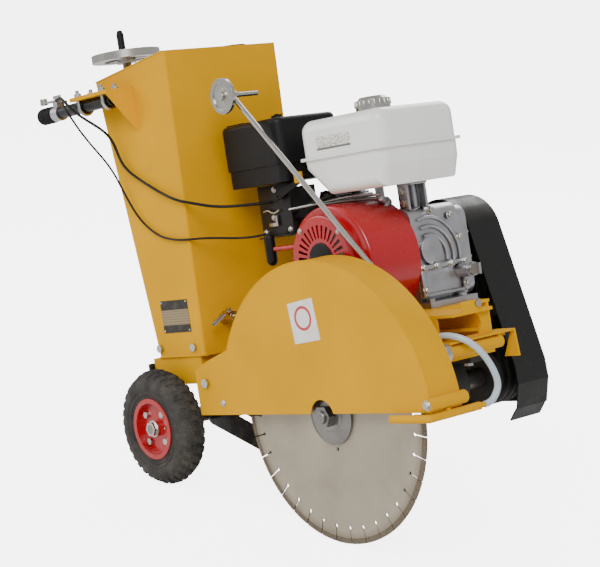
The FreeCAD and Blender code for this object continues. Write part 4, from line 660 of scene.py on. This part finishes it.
def handlebar_details():
    """Bar-end ribs of the grips, and a black rod along the tank where the throttle cable's shadow falls: a
    painted shadow.
    """
    for side, left in (("right", -42), ("left", 340)):
        def ribs(bm):
            for number in range(6):
                turn = facing((-767 + 7 * number, left, 677), (1, 0, 0))
                spun(bm, [(16.6, 0), (18.4, 0.8), (18.4, 2.6), (16.6, 3.4)], turn, 40)
        new_piece(f"grip_ribs_{side}", mesh_from("ribs", ribs), "rubber", "chassis", 50)
    # A black rod laid on the throttle cable's shadow line across the tank and frame: a painted shadow.
    path = [
        (-690, -30, 699), (-650, -70, 700), (-622, -76, 668), (-596, -60, 610), (-574, -20, 540),
        (-556, -9, 480), (-520, -6, 420), (-460, -6, 380), (-400, -6, 368), (-362, -4, 366),
        (-330, 20, 364), (-280, 70, 352), (-252, 112, 352), (-240, 130, 360),
    ]
    rod_piece("cable_shadow_rod", path, 2.4, "black_plastic", "chassis")


# ---- engine ----------------------------------------------------------------------------------------------


STARTER = (-47, 70, 290)
STARTER_BOLT_CIRCLE = 79


def starter_hub():
    """The plain dark disc at the middle of the starter cover, and its fixing bolts."""
    def build(bm):
        turn = facing(STARTER, (0, -1, 0))
        spun(bm, [(0.3, 0), (34, 0), (33, 2.4), (30, 3.2), (0.3, 3.6)], turn, 48)
    new_piece("starter_hub", mesh_from("hub", build), "black_plastic", "chassis", 30)
    places = [around(STARTER, STARTER_BOLT_CIRCLE, angle, "Y") for angle in (40, 130, 220, 310)]
    bolt_heads("starter_bolts", places, (0, -1, 0), 8, 4, "chassis")


CASE_FRONT = 61.5
CASE_WEB_MIDDLE = (64, 256, 262)
CASE_COVER_FACE = 370.5


def crankcase_details():
    """Curved ribs, flanges, corner posts and a bearing boss on the crankcase, with their bolts."""
    flange = [((CASE_FRONT, 216, 240), (71, 344, 249)), ((CASE_FRONT, 216, 186), (69, 344, 193))]
    block_piece("case_joint_flange", flange, "cast_aluminium", "chassis", 2)
    posts = [((CASE_FRONT, y, 186), (72, y + 13, 244)) for y in (216, 331)]
    block_piece("case_corner_posts", posts, "cast_aluminium", "chassis", 4)
    for number, radius in enumerate((44, 62, 80)):
        arc = [around(CASE_WEB_MIDDLE, radius, 15 * step - 12, "X") for step in range(9)]
        rod_piece(f"case_web_{number + 1}", arc, 4.5 - number * 0.5, "cast_aluminium", "chassis")

    def boss(bm):
        profile = [(0.3, 0), (30, 0), (28, 7), (20, 10), (0.3, 11)]
        spun(bm, profile, facing((62, 256, 276), (1, 0, 0)), 40)
    new_piece("case_bearing_boss", mesh_from("boss", boss), "cast_aluminium", "chassis", 35)
    places = [(71, y, 244) for y in (223, 260, 300, 337)]
    places += [(66, 337, 292), (66, 318, 338), (66, 268, 354), (69, 223, 200), (69, 337, 200)]
    bolt_heads("case_front_bolts", places, (1, 0, 0), 11, 7, "chassis")


def crankcase_cover_details():
    """The bolts and ribs on the crankcase's side cover."""
    outline = [
        (-98, 198), (-30, 192), (40, 198), (48, 250), (48, 300), (40, 338), (-30, 344), (-98, 338),
        (-104, 280),
    ]
    places = [(x, CASE_COVER_FACE + 0.5, z) for x, z in outline]
    bolt_heads("cover_bolts", places, (0, 1, 0), 12, 7, "chassis")
    ribs = [((-110, CASE_COVER_FACE, 214 + 26 * n), (52, 375, 218 + 26 * n)) for n in range(5)]
    block_piece("cover_ribs", ribs, "cast_aluminium", "chassis", 1.4)


def tank_support():
    """The pressed legs and bolts that carry the fuel tank on the crankcase."""
    legs = [
        ((30, 222, 360), (58, 228, 414)),
        ((44, 262, 360), (66, 268, 414)),
        ((30, 222, 408), (70, 268, 413)),
    ]
    block_piece("fuel_tank_bracket", legs, "cast_aluminium", "chassis", 2)
    bolt_heads("tank_bracket_bolts", [(46, 222, 374), (46, 222, 398)], (0, -1, 0), 12, 7, "chassis")

    def boss(bm):
        profile = [(0.3, 0), (13, 0), (13, 8), (9, 10), (9, 26), (6, 30), (0.3, 30)]
        spun(bm, profile, facing((12, 206, 378), (0.2, -0.7, 0.5)), 24)
    new_piece("governor_boss", mesh_from("boss", boss), "cast_aluminium", "chassis", 35)
    arm = [(18, 186, 398), (-6, 168, 404), (-60, 140, 402), (-120, 116, 398), (-168, 110, 396)]
    rod_piece("governor_arm", arm, 2.6, "plated_steel", "chassis")
    spring = [(16, 180, 392), (-30, 150, 397), (-90, 124, 396)]
    rod_piece("governor_spring", spring, 3.4, "steel", "chassis")


def carburetor_details():
    """The black control plate in front of the carburetor, with its screws, link, fuel line and plug lead."""
    plate = [((-264, 113, 344), (-166, 116, 450)), ((-264, 100, 344), (-166, 116, 347))]
    block_piece("control_plate", plate, "black_paint", "chassis", 1.2)
    screws = [(-254, 113, 356), (-176, 113, 356), (-210, 113, 440), (-222, 113, 384)]
    bolt_heads("control_plate_screws", screws, (0, -1, 0), 9, 4, "chassis")
    link = [(-246, 108, 398), (-232, 107, 402), (-214, 107, 390), (-196, 107, 398)]
    rod_piece("choke_link", link, 2.2, "plated_steel", "chassis")
    arm = [((-236, 108, 366), (-206, 111, 374)), ((-212, 106, 366), (-206, 112, 388))]
    block_piece("throttle_arm", arm, "plated_steel", "chassis", 1)
    lead = [(-120, 200, 401), (-160, 214, 421), (-215, 240, 419), (-240, 258, 405)]
    rod_piece("ignition_lead", lead, 3.5, "rubber", "chassis")
    line = [(-60, 130, 410), (-100, 120, 404), (-150, 125, 392), (-182, 130, 384)]
    rod_piece("fuel_line", line, 3.5, "rubber", "chassis")


FUEL_CAP = (38, 185, 569)


def fuel_tank_details():
    """The cap's grip ribs and the pale label on the tank."""
    def ribs(bm):
        for number in range(20):
            turn = facing(around(FUEL_CAP, 34, 18 * number, "Z"), (0, 0, 1))
            spun(bm, [(0.2, 0), (2.2, 0), (2.2, 11), (1.4, 12), (0.2, 12)], turn, 8)
    new_piece("fuel_cap_ribs", mesh_from("ribs", ribs), "plated_steel", "fuel_cap_unit", 40)
    panel = block_piece("tank_panel", [LABEL], "plate_metal", "chassis", 0.4)
    panel.data.materials[0] = data_label()


def air_cleaner_details():
    """Moulded ribs on the air cleaner's top and side."""
    ribs = [((-306, 80 + 12 * n, 579.6), (-250, 84 + 12 * n, 583)) for n in range(1, 12)]
    block_piece("cleaner_top_ribs", ribs, "black_plastic", "chassis", 1)
    sides = [((-300 + 22 * n, 79.6, 496), (-296 + 22 * n, 84.5, 566)) for n in range(7)]
    block_piece("cleaner_side_ribs", sides, "black_plastic", "chassis", 1)


def starter_rope():
    """The rope between the guide tube and the grip."""
    mouth, grip = (-192, 79, 322), (-207, 79, 322)
    rope = rod_piece("starter_rope", [mouth, (-200, 79, 322), grip], 2.0, "rubber", None)
    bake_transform(rope)


def rounded_path(points, steps):
    """Points on a smooth curve that passes through every given point."""
    knots = [Vector(point) for point in (points[0], *points, points[-1])]
    made = []
    for before, here, ahead, after in zip(knots, knots[1:], knots[2:], knots[3:]):
        for step in range(steps):
            t = step / steps
            bend = (2 * before - 5 * here + 4 * ahead - after) * t * t
            twist = (3 * here - before - 3 * ahead + after) * t * t * t
            made.append((2 * here + (ahead - before) * t + bend + twist) / 2)
    return [*made, knots[-1]]


def water_hose():
    """The clear hose from the valve to the spray pipe."""
    path = [
        (-317, 62, 195), (-306, 62, 195), (-286, 62, 192), (-250, 64, 170), (-200, 71, 135),
        (-120, 73, 124), (0, 73, 122), (100, 73, 122), (180, 73.5, 124), (228, 75, 127), (262, 80, 127),
        (288, 93, 115), (302, 111, 91), (308, 128, 58), (309, 134, 28), (305, 124, 6), (301, 112, -2),
        (300, 102.5, -3),
    ]
    hose = new_piece("clear_water_hose", rod_through(rounded_path(path, 6), 6.5), "clear_hose", None, 60)
    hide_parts("water_hose")
    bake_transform(hose)


def choke_tip():
    """The yellow sleeve on the end of the choke lever."""
    block_piece("choke_tip", [((-121, 93, 445), (-105, 105, 467))], "yellow_paint", "choke_unit", 2)


# ---- stage -----------------------------------------------------------------------------------------------


FLOOR_GLOW = 5.0
SURROUNDINGS_LIGHT = 0.62
SURROUNDINGS_SEEN = 14.0


def floor():
    """A wide, flat, pale floor that looks brighter to the camera than the light it gives."""
    bm = bmesh.new()
    bmesh.ops.create_grid(bm, x_segments=2, y_segments=2, size=30)
    mesh = bpy.data.meshes.new("floor")
    bm.to_mesh(mesh)
    bm.free()
    r = Recipe("floor_pale")
    tone = r.blend(r.between(r.noise(2, 4), 0.3, 0.7), (0.9, 0.9, 0.9, 1), (0.94, 0.94, 0.94, 1))
    seen = r.add("ShaderNodeLightPath").outputs["Is Camera Ray"]
    glow = r.times(seen, FLOOR_GLOW)
    pale = r.finish(Base_Color=tone, Roughness=0.7, Emission_Color=(1, 1, 1, 1), Emission_Strength=glow)
    mesh.materials.append(pale)
    plane = bpy.data.objects.new("floor", mesh)
    bpy.context.scene.collection.objects.link(plane)


def soft_light(name, place, aim, size, power):
    """A square white area light that looks at a point."""
    data = bpy.data.lights.new(name, "AREA")
    data.size = size
    data.energy = power
    lamp = bpy.data.objects.new(name, data)
    lamp.location = place
    lamp.rotation_euler = (Vector(aim) - Vector(place)).to_track_quat("-Z", "Y").to_euler()
    bpy.context.scene.collection.objects.link(lamp)


def studio():
    """White surroundings, a broad key from the front right and a softer fill."""
    world = bpy.data.worlds.new("studio")
    world.use_nodes = True
    nodes, links = world.node_tree.nodes, world.node_tree.links
    seen = nodes.new("ShaderNodeLightPath").outputs["Is Camera Ray"]
    level = nodes.new("ShaderNodeMapRange")
    links.new(seen, level.inputs["Value"])
    level.inputs["To Min"].default_value = SURROUNDINGS_LIGHT
    level.inputs["To Max"].default_value = SURROUNDINGS_SEEN
    nodes["Background"].inputs["Color"].default_value = (1, 1, 1, 1)
    links.new(level.outputs["Result"], nodes["Background"].inputs["Strength"])
    bpy.context.scene.world = world
    middle = (0, 0, 0.45)
    soft_light("key", (2.2, -2.6, 3.4), middle, 2.0, 125)
    soft_light("fill", (-3.0, -2.4, 2.2), middle, 2.5, 60)
    soft_light("rim", (-1.5, 3.0, 2.8), middle, 2.0, 60)


LENS = 105.1
SEAT = (2517.4, -2142.4, 400.9)
VIEW = (-0.76565, 0.64175, -0.04406)


def camera():
    """The camera at the viewing angle, distance and lens of the reference view."""
    data = bpy.data.cameras.new("camera")
    data.lens = LENS
    seat = bpy.data.objects.new("camera", data)
    seat.location = at(*SEAT)
    view = CHASSIS.to_3x3() @ Vector(VIEW)
    seat.rotation_euler = view.to_track_quat("-Z", "Y").to_euler()
    bpy.context.scene.collection.objects.link(seat)
    bpy.context.scene.camera = seat


# ---- everything ------------------------------------------------------------------------------------------

dress_cad()
for wheel_side, outwards in (("right", -1), ("left", 1)):
    tyre_piece(wheel_side)
    wheel_details(wheel_side, outwards)
sticker()
guard_details()
tank_details()
handlebar_details()
starter_hub()
crankcase_details()
crankcase_cover_details()
tank_support()
carburetor_details()
fuel_tank_details()
air_cleaner_details()
starter_rope()
water_hose()
choke_tip()
floor()
studio()
camera()
